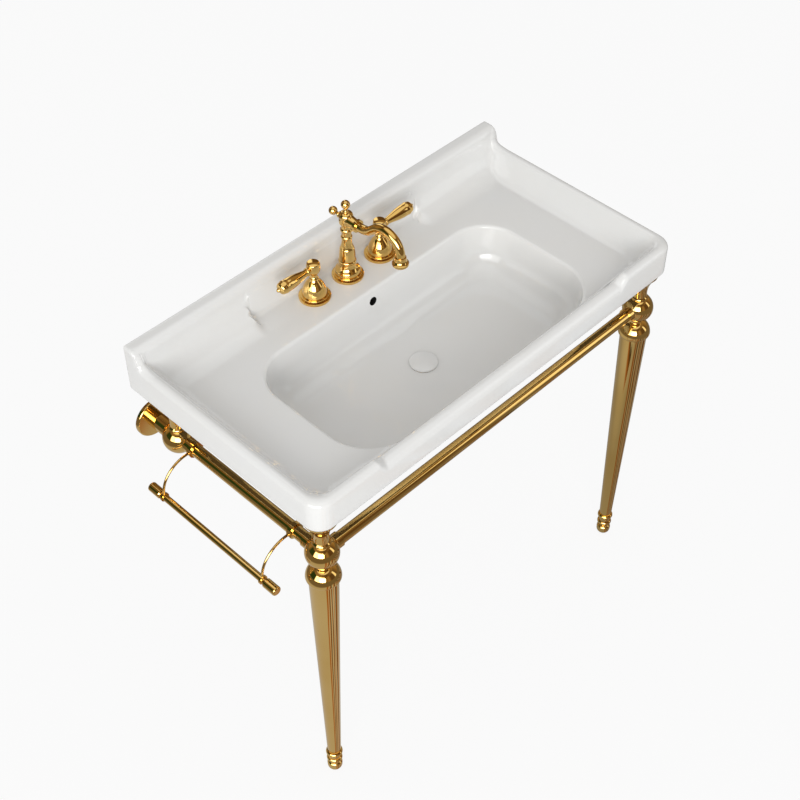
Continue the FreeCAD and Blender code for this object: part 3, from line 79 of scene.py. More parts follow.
def colour(name, description, default):
    return FloatVectorProperty(name=name, description=description, default=default, size=4, min=0.0, max=1.0,
                               subtype="COLOR")


def amount(name, description, default):
    return FloatProperty(name=name, description=description, default=default, min=0.0)


class SinkBasinSizes(PropertyGroup):
    width: length("Width", "Over the two side rims", 1.0)
    depth: length("Depth", "Wall to the front of the basin", 0.524)
    rim_top: length("Rim top", "Top of the side rims above the wall bolts", 0.085)
    front_roll: length("Side rim roll", "Radius of the rolled side rims", 0.012)
    corner: length("Front corners", "Radius of the outer front corners, seen from above", 0.035)
    dip: length("Front dip", "How far the middle of the front rim is lowered", 0.015)
    dip_half: length("Half dip", "Half the width of the lowered middle", 0.338)
    deck_drop: length("Deck drop", "Side rims down to the deck", 0.0485)
    apron_drop: length("Apron drop", "Side rims down to the lower edge", 0.074)
    lip_rise: length("Lip rise", "Back lip above the side rims", 0.037)
    lip_depth: length("Lip depth", "Wall to the lip's nose", 0.034)
    lip_nose: length("Lip nose", "Rounding of the lip's nose", 0.016)
    bay_half: length("Half bay", "Half the width of the bay behind the faucet", 0.230)
    bowl_half: length("Half bowl", "Half the width of the bowl at the deck", 0.333)
    bowl_back: length("Bowl back", "Wall to the rear edge of the bowl", 0.150)
    bowl_front: length("Bowl front", "Wall to the front edge of the bowl", 0.478)
    bowl_depth: length("Bowl depth", "Deck to the floor of the bowl", 0.0985)


class SinkFinishes(PropertyGroup):
    glaze: colour("Glaze", "Colour of the glazed ceramic", (0.72, 0.72, 0.71, 1.0))
    # the underside's clay colour is darkened well below pale fireclay, as painted shade under the basin
    shaded_clay: colour("Raw clay", "Colour of the unglazed underside", (0.17, 0.15, 0.13, 1.0))
    # the overflow's inside is painted near black as shade, where the ceramic would be pale
    channel: colour("Overflow", "Colour inside the overflow channel", (0.010, 0.010, 0.010, 1.0))
    brass: colour("Brass", "Colour of the polished brass", (0.80, 0.54, 0.19, 1.0))
    brass_edge: colour("Brass tarnish", "Darker tone that the brass drifts to", (0.74, 0.47, 0.14, 1.0))
    rubber: colour("Rubber", "Colour of the pads and washers", (0.020, 0.020, 0.021, 1.0))
    steel: colour("Steel", "Colour of the studs and screws", (0.55, 0.55, 0.56, 1.0))
    copper: colour("Copper", "Colour of the mixer tubes", (0.78, 0.36, 0.20, 1.0))


class SinkStudio(PropertyGroup):
    backdrop: amount("Backdrop", "Brightness of the background as the camera sees it", 0.99)
    floor_glow: amount("Floor glow", "Share of that brightness in the floor; the rest takes the shadow", 0.9)
    mirrored: amount("Mirrored floor", "Brightness of the floor as polished metal shows it", 0.54)
    ceiling: amount("Ceiling", "Brightness of the ceiling as polished metal shows it", 1.0)
    light: amount("Horizon", "Strength of the light from all round", 0.84)
    overhead: amount("Overhead", "Strength of the light from above", 0.77)
    key: amount("Key", "Power of the main lamp in watts", 340.0)
    lens: amount("Lens", "Focal length of the camera in millimetres", 66.1)


# -------- shader nodes
def add_noise(tree, scale, detail, squeeze=(1.0, 1.0, 1.0)):
    """A noise fixed to the piece, squeezed along its axes."""
    place = tree.nodes.new("ShaderNodeTexCoord")
    mapping = tree.nodes.new("ShaderNodeMapping")
    mapping.inputs["Scale"].default_value = squeeze
    noise = tree.nodes.new("ShaderNodeTexNoise")
    noise.inputs["Scale"].default_value = scale
    noise.inputs["Detail"].default_value = detail
    tree.links.new(place.outputs["Object"], mapping.inputs["Vector"])
    tree.links.new(mapping.outputs["Vector"], noise.inputs["Vector"])
    return noise.outputs["Fac"]


def add_ramp(tree, value, stops):
    """Colour read off a ramp at this value, from (position, colour) stops."""
    ramp = tree.nodes.new("ShaderNodeValToRGB")
    elements = ramp.color_ramp.elements
    for position, _ in stops[2:]:
        elements.new(position)
    for element, (position, tone) in zip(elements, stops):
        element.position = position
        element.color = (*tone[:3], 1)
    tree.links.new(value, ramp.inputs["Fac"])
    return ramp.outputs["Color"]


def add_fade(tree, value, start, end, low=0.0, high=1.0):
    """A number that goes evenly from low, where the value is at the start, to high at the end."""
    fade = tree.nodes.new("ShaderNodeMapRange")
    for name, number in (("From Min", start), ("From Max", end), ("To Min", low), ("To Max", high)):
        fade.inputs[name].default_value = number
    tree.links.new(value, fade.inputs["Value"])
    return fade.outputs["Result"]


def add_math(tree, operation, first, second):
    """A maths node; each input is a socket or a number."""
    node = tree.nodes.new("ShaderNodeMath")
    node.operation = operation
    for socket, value in zip(node.inputs, (first, second)):
        if isinstance(value, (int, float)):
            socket.default_value = value
        else:
            tree.links.new(value, socket)
    return node.outputs["Value"]


def add_axes(tree, vector):
    """The X, Y and Z of a vector."""
    split = tree.nodes.new("ShaderNodeSeparateXYZ")
    tree.links.new(vector, split.inputs["Vector"])
    return split.outputs["X"], split.outputs["Y"], split.outputs["Z"]


def add_bearing(tree, across, along):
    """Direction in plan as a value from 0 to 1: 0 and 1 are left, 0.25 the front, 0.75 the wall."""
    angle = add_math(tree, "ARCTAN2", along, across)
    return add_math(tree, "ADD", add_math(tree, "MULTIPLY", angle, 0.5 / math.pi), 0.5)


def glow(tree, tone, strength=1.0):
    """An emission shader; tone is a socket or a colour."""
    shader = tree.nodes.new("ShaderNodeEmission")
    shader.inputs["Strength"].default_value = strength
    if isinstance(tone, tuple):
        shader.inputs["Color"].default_value = (*tone, 1)
    else:
        tree.links.new(tone, shader.inputs["Color"])
    return shader.outputs["Emission"]


def add_choice(tree, share, first, second):
    """The first shader at share 0, the second at 1."""
    mix = tree.nodes.new("ShaderNodeMixShader")
    tree.links.new(share, mix.inputs["Fac"])
    tree.links.new(first, mix.inputs[1])
    tree.links.new(second, mix.inputs[2])
    return mix.outputs["Shader"]


# -------- materials
def new_material(name, base, metallic, roughness):
    """A material with these base values, its node tree and its shader node."""
    material = bpy.data.materials.new(name)
    material.use_nodes = True
    tree = material.node_tree
    shader = tree.nodes["Principled BSDF"]
    shader.inputs["Base Color"].default_value = base
    shader.inputs["Metallic"].default_value = metallic
    shader.inputs["Roughness"].default_value = roughness
    material.diffuse_color = base
    return material, tree, shader


def shade(base, red, green, blue):
    """A colour with its channels scaled."""
    return (base[0] * red, base[1] * green, base[2] * blue, 1.0)


def vary_colour(tree, shader, noise, first, second):
    """Drift from one colour to the other."""
    tone = add_ramp(tree, noise, ((0.32, first), (0.68, second)))
    tree.links.new(tone, shader.inputs["Base Color"])


def vary_gloss(tree, shader, noise, low, high):
    """Drift between two roughnesses."""
    tree.links.new(add_fade(tree, noise, 0.3, 0.7, low, high), shader.inputs["Roughness"])


def vary_height(tree, shader, noise, strength, distance):
    """Raise and lower the surface a little."""
    bump = tree.nodes.new("ShaderNodeBump")
    bump.inputs["Strength"].default_value = strength
    bump.inputs["Distance"].default_value = distance
    tree.links.new(noise, bump.inputs["Height"])
    tree.links.new(bump.outputs["Normal"], shader.inputs["Normal"])


def glaze_material(finishes):
    """White glaze: a faint cloudiness in the colour, very slight waves in the gloss."""
    base = tuple(finishes.glaze)
    material, tree, shader = new_material("glazed_ceramic", base, 0.0, 0.05)
    shader.inputs["IOR"].default_value = 1.5
    cloud = add_noise(tree, scale=9.0, detail=3.0)
    vary_colour(tree, shader, cloud, base, shade(base, 1.0, 0.995, 0.985))
    speckle = add_noise(tree, scale=60.0, detail=2.0)
    vary_gloss(tree, shader, speckle, 0.03, 0.07)
    waves = add_noise(tree, scale=14.0, detail=1.0)
    vary_height(tree, shader, waves, 0.04, 0.002)
    return material


def shaded_clay_material(finishes):
    """Unglazed underside, its colour darkened far below pale clay as painted shade for the unlit underside:
    dull and faintly grainy.
    """
    base = tuple(finishes.shaded_clay)
    material, tree, shader = new_material("clay_with_painted_shade", base, 0.0, 0.85)
    grain = add_noise(tree, scale=250.0, detail=4.0)
    vary_colour(tree, shader, grain, base, shade(base, 0.8, 0.78, 0.74))
    vary_height(tree, shader, grain, 0.3, 0.0004)
    return material


def channel_shade_material(finishes):
    """Inside of the overflow, painted near black as the shade in the hole, with a faint mottle."""
    base = tuple(finishes.channel)
    material, tree, shader = new_material("painted_shade_channel", base, 0.0, 0.9)
    shader.inputs["Specular IOR Level"].default_value = 0.1
    shade_mottle = add_noise(tree, scale=120.0, detail=3.0)
    vary_colour(tree, shader, shade_mottle, base, shade(base, 0.4, 0.4, 0.4))
    return material


def brass_material(finishes):
    """Polished brass: fine buffing lines and a slow drift of tone, with faint finger-marks in the gloss."""
    base = tuple(finishes.brass)
    material, tree, shader = new_material("polished_brass", base, 1.0, 0.07)
    drift = add_noise(tree, scale=7.0, detail=2.0)
    vary_colour(tree, shader, drift, base, tuple(finishes.brass_edge))
    smudge = add_noise(tree, scale=45.0, detail=4.0)
    vary_gloss(tree, shader, smudge, 0.02, 0.07)
    buffing = add_noise(tree, scale=160.0, detail=2.0, squeeze=(1.0, 1.0, 6.0))
    vary_height(tree, shader, buffing, 0.02, 0.0005)
    return material


def rubber_material(finishes):
    """Black rubber with a fine moulded grain."""
    material, tree, shader = new_material("black_rubber", tuple(finishes.rubber), 0.0, 0.7)
    grain = add_noise(tree, scale=900.0, detail=2.0)
    vary_gloss(tree, shader, grain, 0.6, 0.8)
    vary_height(tree, shader, grain, 0.25, 0.0003)
    return material


def steel_material(finishes):
    """Brushed steel with fine level lines."""
    material, tree, shader = new_material("brushed_steel", tuple(finishes.steel), 1.0, 0.3)
    lines = add_noise(tree, scale=300.0, detail=2.0, squeeze=(1.0, 1.0, 12.0))
    vary_gloss(tree, shader, lines, 0.22, 0.42)
    vary_height(tree, shader, lines, 0.1, 0.0003)
    return material


def copper_material(finishes):
    """Drawn copper tube with a dull bloom."""
    base = tuple(finishes.copper)
    material, tree, shader = new_material("drawn_copper", base, 1.0, 0.25)
    bloom = add_noise(tree, scale=35.0, detail=4.0)
    vary_colour(tree, shader, bloom, base, shade(base, 0.7, 0.65, 0.7))
    vary_gloss(tree, shader, bloom, 0.2, 0.38)
    return material


MAKERS = {"ceramic": ("glazed_ceramic", glaze_material), "brass": ("polished_brass", brass_material),
          "rubber": ("black_rubber", rubber_material), "steel": ("brushed_steel", steel_material),
          "copper": ("drawn_copper", copper_material)}


def finish_of(slot):
    """The material for one of the record's slots, made once."""
    name, maker = MAKERS[slot]
    return bpy.data.materials.get(name) or maker(bpy.context.scene.sink_finishes)


# -------- modelling helpers
def only(piece):
    """Leave edit mode, deselect everything and make this piece the selected and active one."""
    if bpy.context.object and bpy.context.object.mode != "OBJECT":
        bpy.ops.object.mode_set(mode="OBJECT")
    bpy.ops.object.select_all(action="DESELECT")
    piece.hide_set(False)
    piece.select_set(True)
    bpy.context.view_layer.objects.active = piece


def dress(piece, slot, body, *nodes):
    """Give a finished piece its material, its body and the nodes that it stands for."""
    piece.data.materials.clear()
    piece.data.materials.append(finish_of(slot))
    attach(piece, body)
    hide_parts(*nodes)


def smooth(piece, degrees):
    """Smooth shading, with edges sharper than this angle kept."""
    only(piece)
    bpy.ops.object.shade_smooth_by_angle(angle=math.radians(degrees))


def weld(piece, distance):
    """Merge points closer than this and turn all faces outwards."""
    only(piece)
    bpy.ops.object.mode_set(mode="EDIT")
    bpy.ops.mesh.select_all(action="SELECT")
    bpy.ops.mesh.remove_doubles(threshold=distance)
    bpy.ops.mesh.normals_make_consistent(inside=False)
    bpy.ops.object.mode_set(mode="OBJECT")


def mesh_piece(name, points, edges=(), faces=()):
    """A new piece from points and the edges or faces between them."""
    mesh = bpy.data.meshes.new(name)
    mesh.from_pydata(points, edges, faces)
    mesh.update()
    piece = bpy.data.objects.new(name, mesh)
    bpy.context.scene.collection.objects.link(piece)
    return piece


# -------- basin: profiles of its rims
RIM_TOP_WIDTH = 0.024
SIDE_SLOPE = {"inner_r": 0.012, "foot": 0.053, "fillet": 0.022}
FRONT_SLOPE = {"inner_r": 0.012, "foot": 0.046, "fillet": 0.018}
DIP_SLOPE = {"inner_r": 0.010, "foot": 0.046, "fillet": 0.006}
DIP_ROLL_R = 0.018
DIP_RUN = 0.013           # half the length over which the front rim changes height
CORNER_RUN = 0.03         # half the width over which the side rim turns into the front rim
LIP_RUN = 0.044           # length of the lip's hollow run-out along the side rims
LIP_END_R = 0.007         # rounding of the lip's two ends
BAY_FOOT, BAY_R, BAY_RUN = 0.0385, 0.013, 0.004
FILLET_WIDTH, FILLET_DEPTH = 0.028, 0.02    # where the lip meets the rims: full width, and how deep that is
REAR = 0.2                # further than this from the front the lip counts
OUT_OF_REACH = 1.0        # a height or distance past anything on the basin


def arc(centre, radius, start, end, count):
    """Points on an arc, angles in degrees."""
    angles = np.radians(np.linspace(start, end, count))
    return [(centre[0] + radius * math.cos(a), centre[1] + radius * math.sin(a)) for a in angles]


def rim_profile(crest, outer_r, deck, inner_r, foot, fillet):
    """Heights from the outer face inwards: rolled edge, rolled top, slope down to the deck, fillet.

    The slope leaves the inner roll at the angle at which it meets the deck at its foot."""
    flat = max(0.0, RIM_TOP_WIDTH - outer_r - inner_r)
    centre = (outer_r + flat, crest - inner_r)
    angles = np.radians(np.linspace(1, 89, 2000))
    gap = (foot - centre[0]) * np.sin(angles) + (deck - centre[1]) * np.cos(angles) - inner_r
    slope = angles[np.argmin(np.abs(gap))]
    reach = fillet * math.tan(slope / 2)
    points = arc((outer_r, crest - outer_r), outer_r, 180, 90, 24)
    points += arc(centre, inner_r, 90, 90 - math.degrees(slope), 16)
    points += arc((foot + reach, deck + fillet), fillet, 270 - math.degrees(slope), 270, 16)
    points.append((OUT_OF_REACH, deck))
    return np.array(points)


def read(profile, distance):
    """Height of a profile at a distance."""
    return np.interp(distance, profile[:, 0], profile[:, 1])


def step(value, low, high):
    """A soft step from 0 at the low value to 1 at the high one."""
    share = np.clip((value - low) / (high - low), 0, 1)
    return share * share * (3 - 2 * share)


def corner_level(dx, dy, radius):
    """Distance from a rounded corner's outline, for points at dx and dy from its two sides."""
    a, b = radius - dx, radius - dy
    inside = np.maximum(2 * radius ** 2 - (a - b) ** 2, 0)
    level = (-(a + b) + np.sqrt(inside)) / 2
    nearest = np.minimum(dx, dy)
    return np.where((np.abs(a - b) < radius) & (level + np.minimum(a, b) > 0), level, nearest)


class BasinForm:
    """Heights of the basin's upper side at any place, in metres from the wall bolts."""

    def __init__(self, sizes):
        self.sizes = sizes
        top = sizes.rim_top
        self.deck = top - sizes.deck_drop
        self.side = rim_profile(top, sizes.front_roll, self.deck, **SIDE_SLOPE)
        self.front_end = rim_profile(top, sizes.front_roll, self.deck, **FRONT_SLOPE)
        self.front_middle = rim_profile(top - sizes.dip, DIP_ROLL_R, self.deck, **DIP_SLOPE)
        lip_top = top + sizes.lip_rise
        nose_z = lip_top - sizes.lip_nose
        nose = arc((sizes.lip_depth - sizes.lip_nose, nose_z), sizes.lip_nose, 90, 0, 14)
        hollow = [(sizes.lip_depth + LIP_RUN * share, top + (nose_z - top) * (1 - math.sqrt(share)) ** 2)
                  for share in np.linspace(0, 1, 30)[1:]]
        wall_edge = [(0.0, lip_top - 0.002), (0.0006, lip_top - 0.0006), (0.002, lip_top)]
        self.lip = np.array(wall_edge + nose + hollow + [(OUT_OF_REACH, top)])
        self.cove_r = nose_z - self.deck
        # both are out of reach up to their foot, so the lip counts there
        centre = (sizes.lip_depth + self.cove_r, nose_z)
        self.cove = np.array([(0.0, OUT_OF_REACH), (sizes.lip_depth - 0.0002, OUT_OF_REACH)]
                             + arc(centre, self.cove_r, 180, 270, 60) + [(OUT_OF_REACH, self.deck)])
        centre = (BAY_FOOT + BAY_R, self.deck + BAY_R)
        self.bay = np.array([(0.0, OUT_OF_REACH), (BAY_FOOT - 0.0009, OUT_OF_REACH),
                             (BAY_FOOT, self.deck + BAY_R + 0.005)]
                            + arc(centre, BAY_R, 180, 270, 16) + [(OUT_OF_REACH, self.deck)])

    def back(self, x, y):
        """Lip, cove and faucet bay, from the distance to the wall."""
        wall = -y
        lip = read(self.lip, wall)
        cove = np.minimum(lip, read(self.cove, wall))
        bay = np.minimum(lip, read(self.bay, wall))
        inside = 1 - step(np.abs(x), self.sizes.bay_half - BAY_RUN, self.sizes.bay_half + BAY_RUN)
        return cove + (bay - cove) * inside

    def height(self, x, y):
        """Height of the rims, lip, cove, bay and deck, with a hollow fillet where the lip meets the rims."""
        sizes = self.sizes
        dx, dy = sizes.width / 2 - np.abs(x), sizes.depth + y
        level = corner_level(dx, dy, sizes.corner)
        middle = 1 - step(np.abs(x), sizes.dip_half - DIP_RUN, sizes.dip_half + DIP_RUN)
        front = read(self.front_end, level) * (1 - middle) + read(self.front_middle, level) * middle
        turn = step(dx - dy, -CORNER_RUN, CORNER_RUN)
        rim = read(self.side, level) * (1 - turn) + front * turn
        wall = -y
        runout = np.maximum(read(self.lip, wall) - sizes.rim_top, 0)
        crown = np.clip((rim - self.deck) / sizes.deck_drop, 0, 1)
        rim = rim + runout * crown ** 3 * (dy > REAR)
        back = self.back(x, y)
        end = LIP_END_R - np.sqrt(np.maximum(LIP_END_R ** 2 - np.maximum(LIP_END_R - dx, 0) ** 2, 0))
        lip = np.where(wall < sizes.lip_depth, back - end, back)
        top = sizes.rim_top + runout
        deep = np.maximum(np.minimum(top - rim, top - lip), 0)
        risen = np.maximum(np.maximum(rim, lip) - self.deck, 0)
        blend = np.minimum(np.clip(deep / FILLET_DEPTH, 0, 1) * FILLET_WIDTH, 0.9 * risen) + 1e-6
        joined = np.maximum(rim, lip) + np.maximum(blend - np.abs(rim - lip), 0) ** 2 / (4 * blend)
        return np.where(dy > REAR, joined, rim)


# -------- basin: rings of its mesh
BOWL_LEAN, BOWL_BOTTOM_R, BOWL_EDGE_R = 0.012, 0.055, 0.007
BOWL_FRONT_R, BOWL_BACK_R = 0.100, 0.085
EDGE_POINTS = 8           # how many points of a bowl profile go over its edge
FALL, FALL_R = 0.005, 0.125    # how much the bowl's floor sinks, and from how far round the drain
LOWER_EDGE_R = 0.006
FIXED_HALF = 0.36         # out to here a wide ring's columns stand at fixed places, and past it they spread


def spaced(stops, gaps):
    """Positions from stop to stop, each stretch divided by its own gap."""
    values = [stops[0]]
    for a, b, gap in zip(stops, stops[1:], gaps):
        count = max(1, round(abs(b - a) / gap))
        values += list(np.linspace(a, b, count + 1)[1:])
    return np.array(values)


class BasinPlan:
    """Every ring runs round the basin with the same number of points, so neighbours join in quads.

    The columns crowd together where the bay and the dip in the front rim end."""

    def __init__(self):
        half = (0.22, 0.24, 0.324, 0.352, FIXED_HALF, 1)
        gaps = (0.0015, 0.009, 0.002, 0.004, 0.07)
        self.across = spaced([-x for x in half[::-1]] + list(half), gaps[::-1] + (0.009,) + gaps)
        self.along = spaced((0, 0.16, 1), (0.01, 0.021))
        self.arc = 14

    def columns(self, reach):
        """Places across a front or back side that ends at -reach and reach."""
        inner = min(FIXED_HALF, reach * 0.8)
        size = np.abs(self.across)
        near = size * inner / FIXED_HALF
        far = inner + (size - FIXED_HALF) / (1 - FIXED_HALF) * (reach - inner)
        return np.sign(self.across) * np.where(size <= FIXED_HALF, near, far)

    def ring(self, half, front, back, front_r, back_r):
        """Points anticlockwise from the front left corner's end."""
        points = []
        for x in self.columns(half - front_r):
            points.append((x, front))
        points += self.turn(half - front_r, front + front_r, front_r, -90)
        span = (back - back_r) - (front + front_r)
        for share in self.along[::-1]:
            points.append((half, back - back_r - share * span))
        points += self.turn(half - back_r, back - back_r, back_r, 0)
        for x in self.columns(half - back_r)[::-1]:
            points.append((x, back))
        points += self.turn(back_r - half, back - back_r, back_r, 90)
        for share in self.along:
            points.append((-half, back - back_r - share * span))
        points += self.turn(front_r - half, front + front_r, front_r, 180)
        return np.array(points)

    def turn(self, x, y, radius, start):
        """Points within a quarter turn round a corner's centre."""
        angles = np.radians(start + 90 * np.arange(1, self.arc) / self.arc)
        return [(x + radius * math.cos(a), y + radius * math.sin(a)) for a in angles]


def bowl_profile(depth, lean, bottom_r, edge_r):
    """Inward offset and depth below the deck, over the edge, down the wall and round the bottom."""
    slope = math.atan2(lean, depth)
    reach = edge_r * math.tan((math.pi / 2 - slope) / 2)
    points = [(-reach + edge_r * math.sin(a), edge_r * (1 - math.cos(a)))
              for a in np.linspace(0, math.pi / 2 - slope, EDGE_POINTS)]
    start = points[-1]
    tangent = bottom_r * math.tan((math.pi / 2 - slope) / 2)
    corner = (lean, depth)
    foot = (corner[0] - tangent * math.sin(slope), corner[1] - tangent * math.cos(slope))
    for share in (0.33, 0.67):
        points.append((start[0] + share * (foot[0] - start[0]), start[1] + share * (foot[1] - start[1])))
    centre = (corner[0] + tangent, depth - bottom_r)
    for a in np.linspace(slope, math.pi / 2, 15):
        points.append((centre[0] - bottom_r * math.cos(a), centre[1] + bottom_r * math.sin(a)))
    return points


def towards_drain(ring, radius, share):
    """Points part of the way from a ring to a circle round the drain."""
    away = ring - np.array(DRAIN)
    far = np.linalg.norm(away, axis=1, keepdims=True)
    return np.array(DRAIN) + away / far * (far * (1 - share) + radius * share)


def bowl_fall(points):
    """How much the floor sinks towards the drain."""
    away = np.linalg.norm(points - np.array(DRAIN), axis=1)
    return FALL * (1 - step(away, DRAIN_SEAT_R, FALL_R))


def upper_rings(sizes, form, plan):
    """Rings over the rims and the lip down to the deck, as seen from above."""
    quarter = np.linspace(0, math.pi / 2, 9)
    roll_r = RIM_TOP_WIDTH / 2
    roll = [roll_r * (1 - math.cos(a)) for a in quarter]
    crown = [roll_r * (1 + math.sin(a)) for a in quarter[1:]]
    slope = list(np.linspace(RIM_TOP_WIDTH, 0.050, 9)[1:])
    foot = list(np.linspace(0.050, 0.078, 15)[1:])
    beside = roll + crown + slope + foot
    ahead = roll + crown + list(np.linspace(RIM_TOP_WIDTH, 0.0355, len(slope + foot) + 1)[1:])
    lip_top = [0, 0.0002, 0.0006, 0.0012, 0.002, 0.006, 0.010, 0.014, 0.018]
    nose = [lip_top[-1] + sizes.lip_nose * math.sin(a) for a in quarter[1:]]
    cove = [sizes.lip_depth + form.cove_r * (1 - math.cos(a))
            for a in np.linspace(0, math.pi / 2, 23)[1:]]
    behind = lip_top + nose + cove
    rings = []
    for side, front, back in zip(beside, ahead, behind):
        front_r = max(sizes.corner - 0.6 * side, 0.010)
        back_r = 0.004 + 0.5 * min(side, 0.06)
        rings.append(plan.ring(sizes.width / 2 - side, front - sizes.depth, -back, front_r, back_r))
    return rings


def bowl_rings(sizes, plan, outwards, bottom_r, edge_r):
    """Rings of the bowl from its edge down, each with its depth, moved outwards for its outer face."""
    rings = []
    for inset, depth in bowl_profile(sizes.bowl_depth + outwards, BOWL_LEAN, bottom_r, edge_r):
        inset -= outwards
        rings.append((plan.ring(sizes.bowl_half - inset, inset - sizes.bowl_front, -sizes.bowl_back - inset,
                                BOWL_FRONT_R - inset, BOWL_BACK_R - inset), depth))
    return rings


def basin_rings(sizes):
    """Rings from the drain hole out over the underside, up the outside, over the rims and into the bowl."""
    form, plan = BasinForm(sizes), BasinPlan()
    half = sizes.width / 2
    low = sizes.rim_top - sizes.apron_drop
    under = form.deck - DECK_WALL
    bowl_floor = form.deck - sizes.bowl_depth
    seat_z = bowl_floor - FALL - DRAIN_SEAT_DEPTH
    upper = upper_rings(sizes, form, plan)
    bowl = bowl_rings(sizes, plan, 0, BOWL_BOTTOM_R, BOWL_EDGE_R)
    outer = bowl_rings(sizes, plan, BOWL_WALL, BOWL_BOTTOM_R + BOWL_WALL, 0.001)[EDGE_POINTS:]
    rings = []

    def add(points, heights):
        rings.append(np.column_stack([points, np.broadcast_to(heights, len(points))]))

    def apron(inset, corner=0.020):
        return plan.ring(half - inset, inset - sizes.depth, -inset, corner, 0.004 + inset * 0.6)

    def surface(points):
        return form.height(points[:, 0], points[:, 1])

    # drain boss and the bowl's outer face
    floor = outer[-1][0]
    add(towards_drain(floor, DRAIN_HOLE_R, 1), seat_z)
    add(towards_drain(floor, DRAIN_HOLE_R, 1), DRAIN_BOSS_LOW)
    add(towards_drain(floor, DRAIN_BOSS_R - 0.001, 1), DRAIN_BOSS_LOW)
    add(towards_drain(floor, DRAIN_BOSS_R, 1), DRAIN_BOSS_LOW + 0.001)
    for share in (1, 0.7, 0.4):
        add(towards_drain(floor, DRAIN_BOSS_R, share), bowl_floor - BOWL_WALL)
    for points, depth in outer[::-1]:
        add(points, np.minimum(form.deck - depth, under))

    # underside of the deck, inside of the apron and its lower edge
    last = rings[-1][:, :2]
    for share in (0.25, 0.9):
        add(last * (1 - share) + apron(APRON_WALL + 0.002) * share, under)
    add(apron(APRON_WALL + 0.0005), under - 0.0005)
    add(apron(APRON_WALL), under - 0.002)
    add(apron(APRON_WALL), low + 0.001)
    add(apron(APRON_WALL - 0.0005, 0.0205), low)
    for a in np.linspace(0, math.pi / 2, 6):
        inset = LOWER_EDGE_R * (1 - math.sin(a))
        add(plan.ring(half - inset, inset - sizes.depth, -min(inset, 0.001), sizes.corner - inset, 0.004),
            low + LOWER_EDGE_R * (1 - math.cos(a)))

    # outer face, rims and deck
    rim_foot = surface(upper[0])
    for share in (0.3, 0.7):
        add(upper[0], (low + LOWER_EDGE_R) * (1 - share) + rim_foot * share)
    for points in upper:
        add(points, surface(points))
    for share in np.linspace(0, 1, 9)[1:-1]:
        points = upper[-1] * (1 - share) + bowl[0][0] * share
        add(points, surface(points))

    # bowl and the seat of the drain
    for index, (points, depth) in enumerate(bowl):
        heights = form.deck - depth - bowl_fall(points)
        if index < EDGE_POINTS:
            heights = np.maximum(heights, surface(points) - depth)
        add(points, heights)
    floor = bowl[-1][0]
    for share in np.linspace(0, 1, 12)[1:]:
        points = towards_drain(floor, DRAIN_SEAT_R, share)
        add(points, bowl_floor - bowl_fall(points))
    add(towards_drain(floor, DRAIN_SEAT_R, 1), seat_z)
    return rings


def joined_rings(name, rings):
    """Quads between neighbouring rings, and between the last ring and the first."""
    count = len(rings[0])
    points = np.concatenate(rings)
    faces = []
    for k in range(len(rings)):
        a, b = k * count, (k + 1) % len(rings) * count
        for i in range(count):
            j = (i + 1) % count
            faces.append((a + i, a + j, b + j, b + i))
    return mesh_piece(name, points.tolist(), faces=faces)


def just_added(name):
    """Name the shape that was just added and leave its object at the origin."""
    shape = bpy.context.object
    shape.name = name
    bpy.ops.object.transform_apply()
    return shape


def cutter(name, x, y, z, radius, height, direction="Z", vertices=64):
    """A round rod centred at a place, for cutting or joining."""
    turn = {"Z": (0, 0, 0), "Y": (math.pi / 2, 0, 0)}[direction]
    bpy.ops.mesh.primitive_cylinder_add(vertices=vertices, radius=radius, depth=height, location=(x, y, z),
                                        rotation=turn)
    return just_added(name)


def slab(name, low, high):
    """A box between two opposite corners."""
    centre = [(a + b) / 2 for a, b in zip(low, high)]
    size = [b - a for a, b in zip(low, high)]
    bpy.ops.mesh.primitive_cube_add(size=1, location=centre, scale=size)
    return just_added(name)


def apply_boolean(piece, tool, operation, solver):
    """Join a tool to a piece or cut it away, and delete the tool."""
    modifier = piece.modifiers.new("shape", "BOOLEAN")
    modifier.operation = operation
    modifier.object = tool
    modifier.solver = solver
    only(piece)
    bpy.ops.object.modifier_apply(modifier=modifier.name)
    bpy.data.objects.remove(tool)


def combine(piece, tools, operation):
    """Fuse the tools into one, then join it to the piece or cut it away."""
    for tool in tools[1:]:
        apply_boolean(tools[0], tool, "UNION", "EXACT")
    apply_boolean(piece, tools[0], operation, "FAST")


# -------- turned pieces
def bowed(stops, count=8):
    """Points along (radius, height[, bow]) stops; a bow is an arc's rise as a share of its chord."""
    points = [Vector(stops[0][:2])]
    for before, stop in zip(stops, stops[1:]):
        first, last = Vector(before[:2]), Vector(stop[:2])
        if len(stop) == 2:
            points.append(last)
            continue
        half = 2 * math.atan(2 * stop[2])
        chord = last - first
        radius = chord.length / (2 * math.sin(half))
        along = chord.normalized()
        outward = Vector((along.y, -along.x))
        for share in np.linspace(-1, 1, count + 1)[1:]:
            angle = half * share
            points.append((first + last) / 2 + along * radius * math.sin(angle)
                          + outward * radius * (math.cos(angle) - math.cos(half)))
    return points


def turned(name, stops, steps=64):
    """Spin an outline of (radius, height) stops in millimetres round the Z axis."""
    points = [(r / 1000, 0, z / 1000) for r, z in bowed(stops)]
    piece = mesh_piece(name, points, edges=[(i, i + 1) for i in range(len(points) - 1)])
    only(piece)
    bpy.ops.object.mode_set(mode="EDIT")
    bpy.ops.mesh.select_all(action="SELECT")
    bpy.ops.mesh.spin(steps=steps, angle=2 * math.pi, center=(0, 0, 0), axis=(0, 0, 1))
    weld(piece, 0.00001)
    return piece


def placed(piece, place, turn=(0, 0, 0)):
    """Turn and move a piece and leave its object at the origin."""
    only(piece)
    piece.rotation_euler = turn
    piece.location = place
    bpy.ops.object.transform_apply()
    return piece


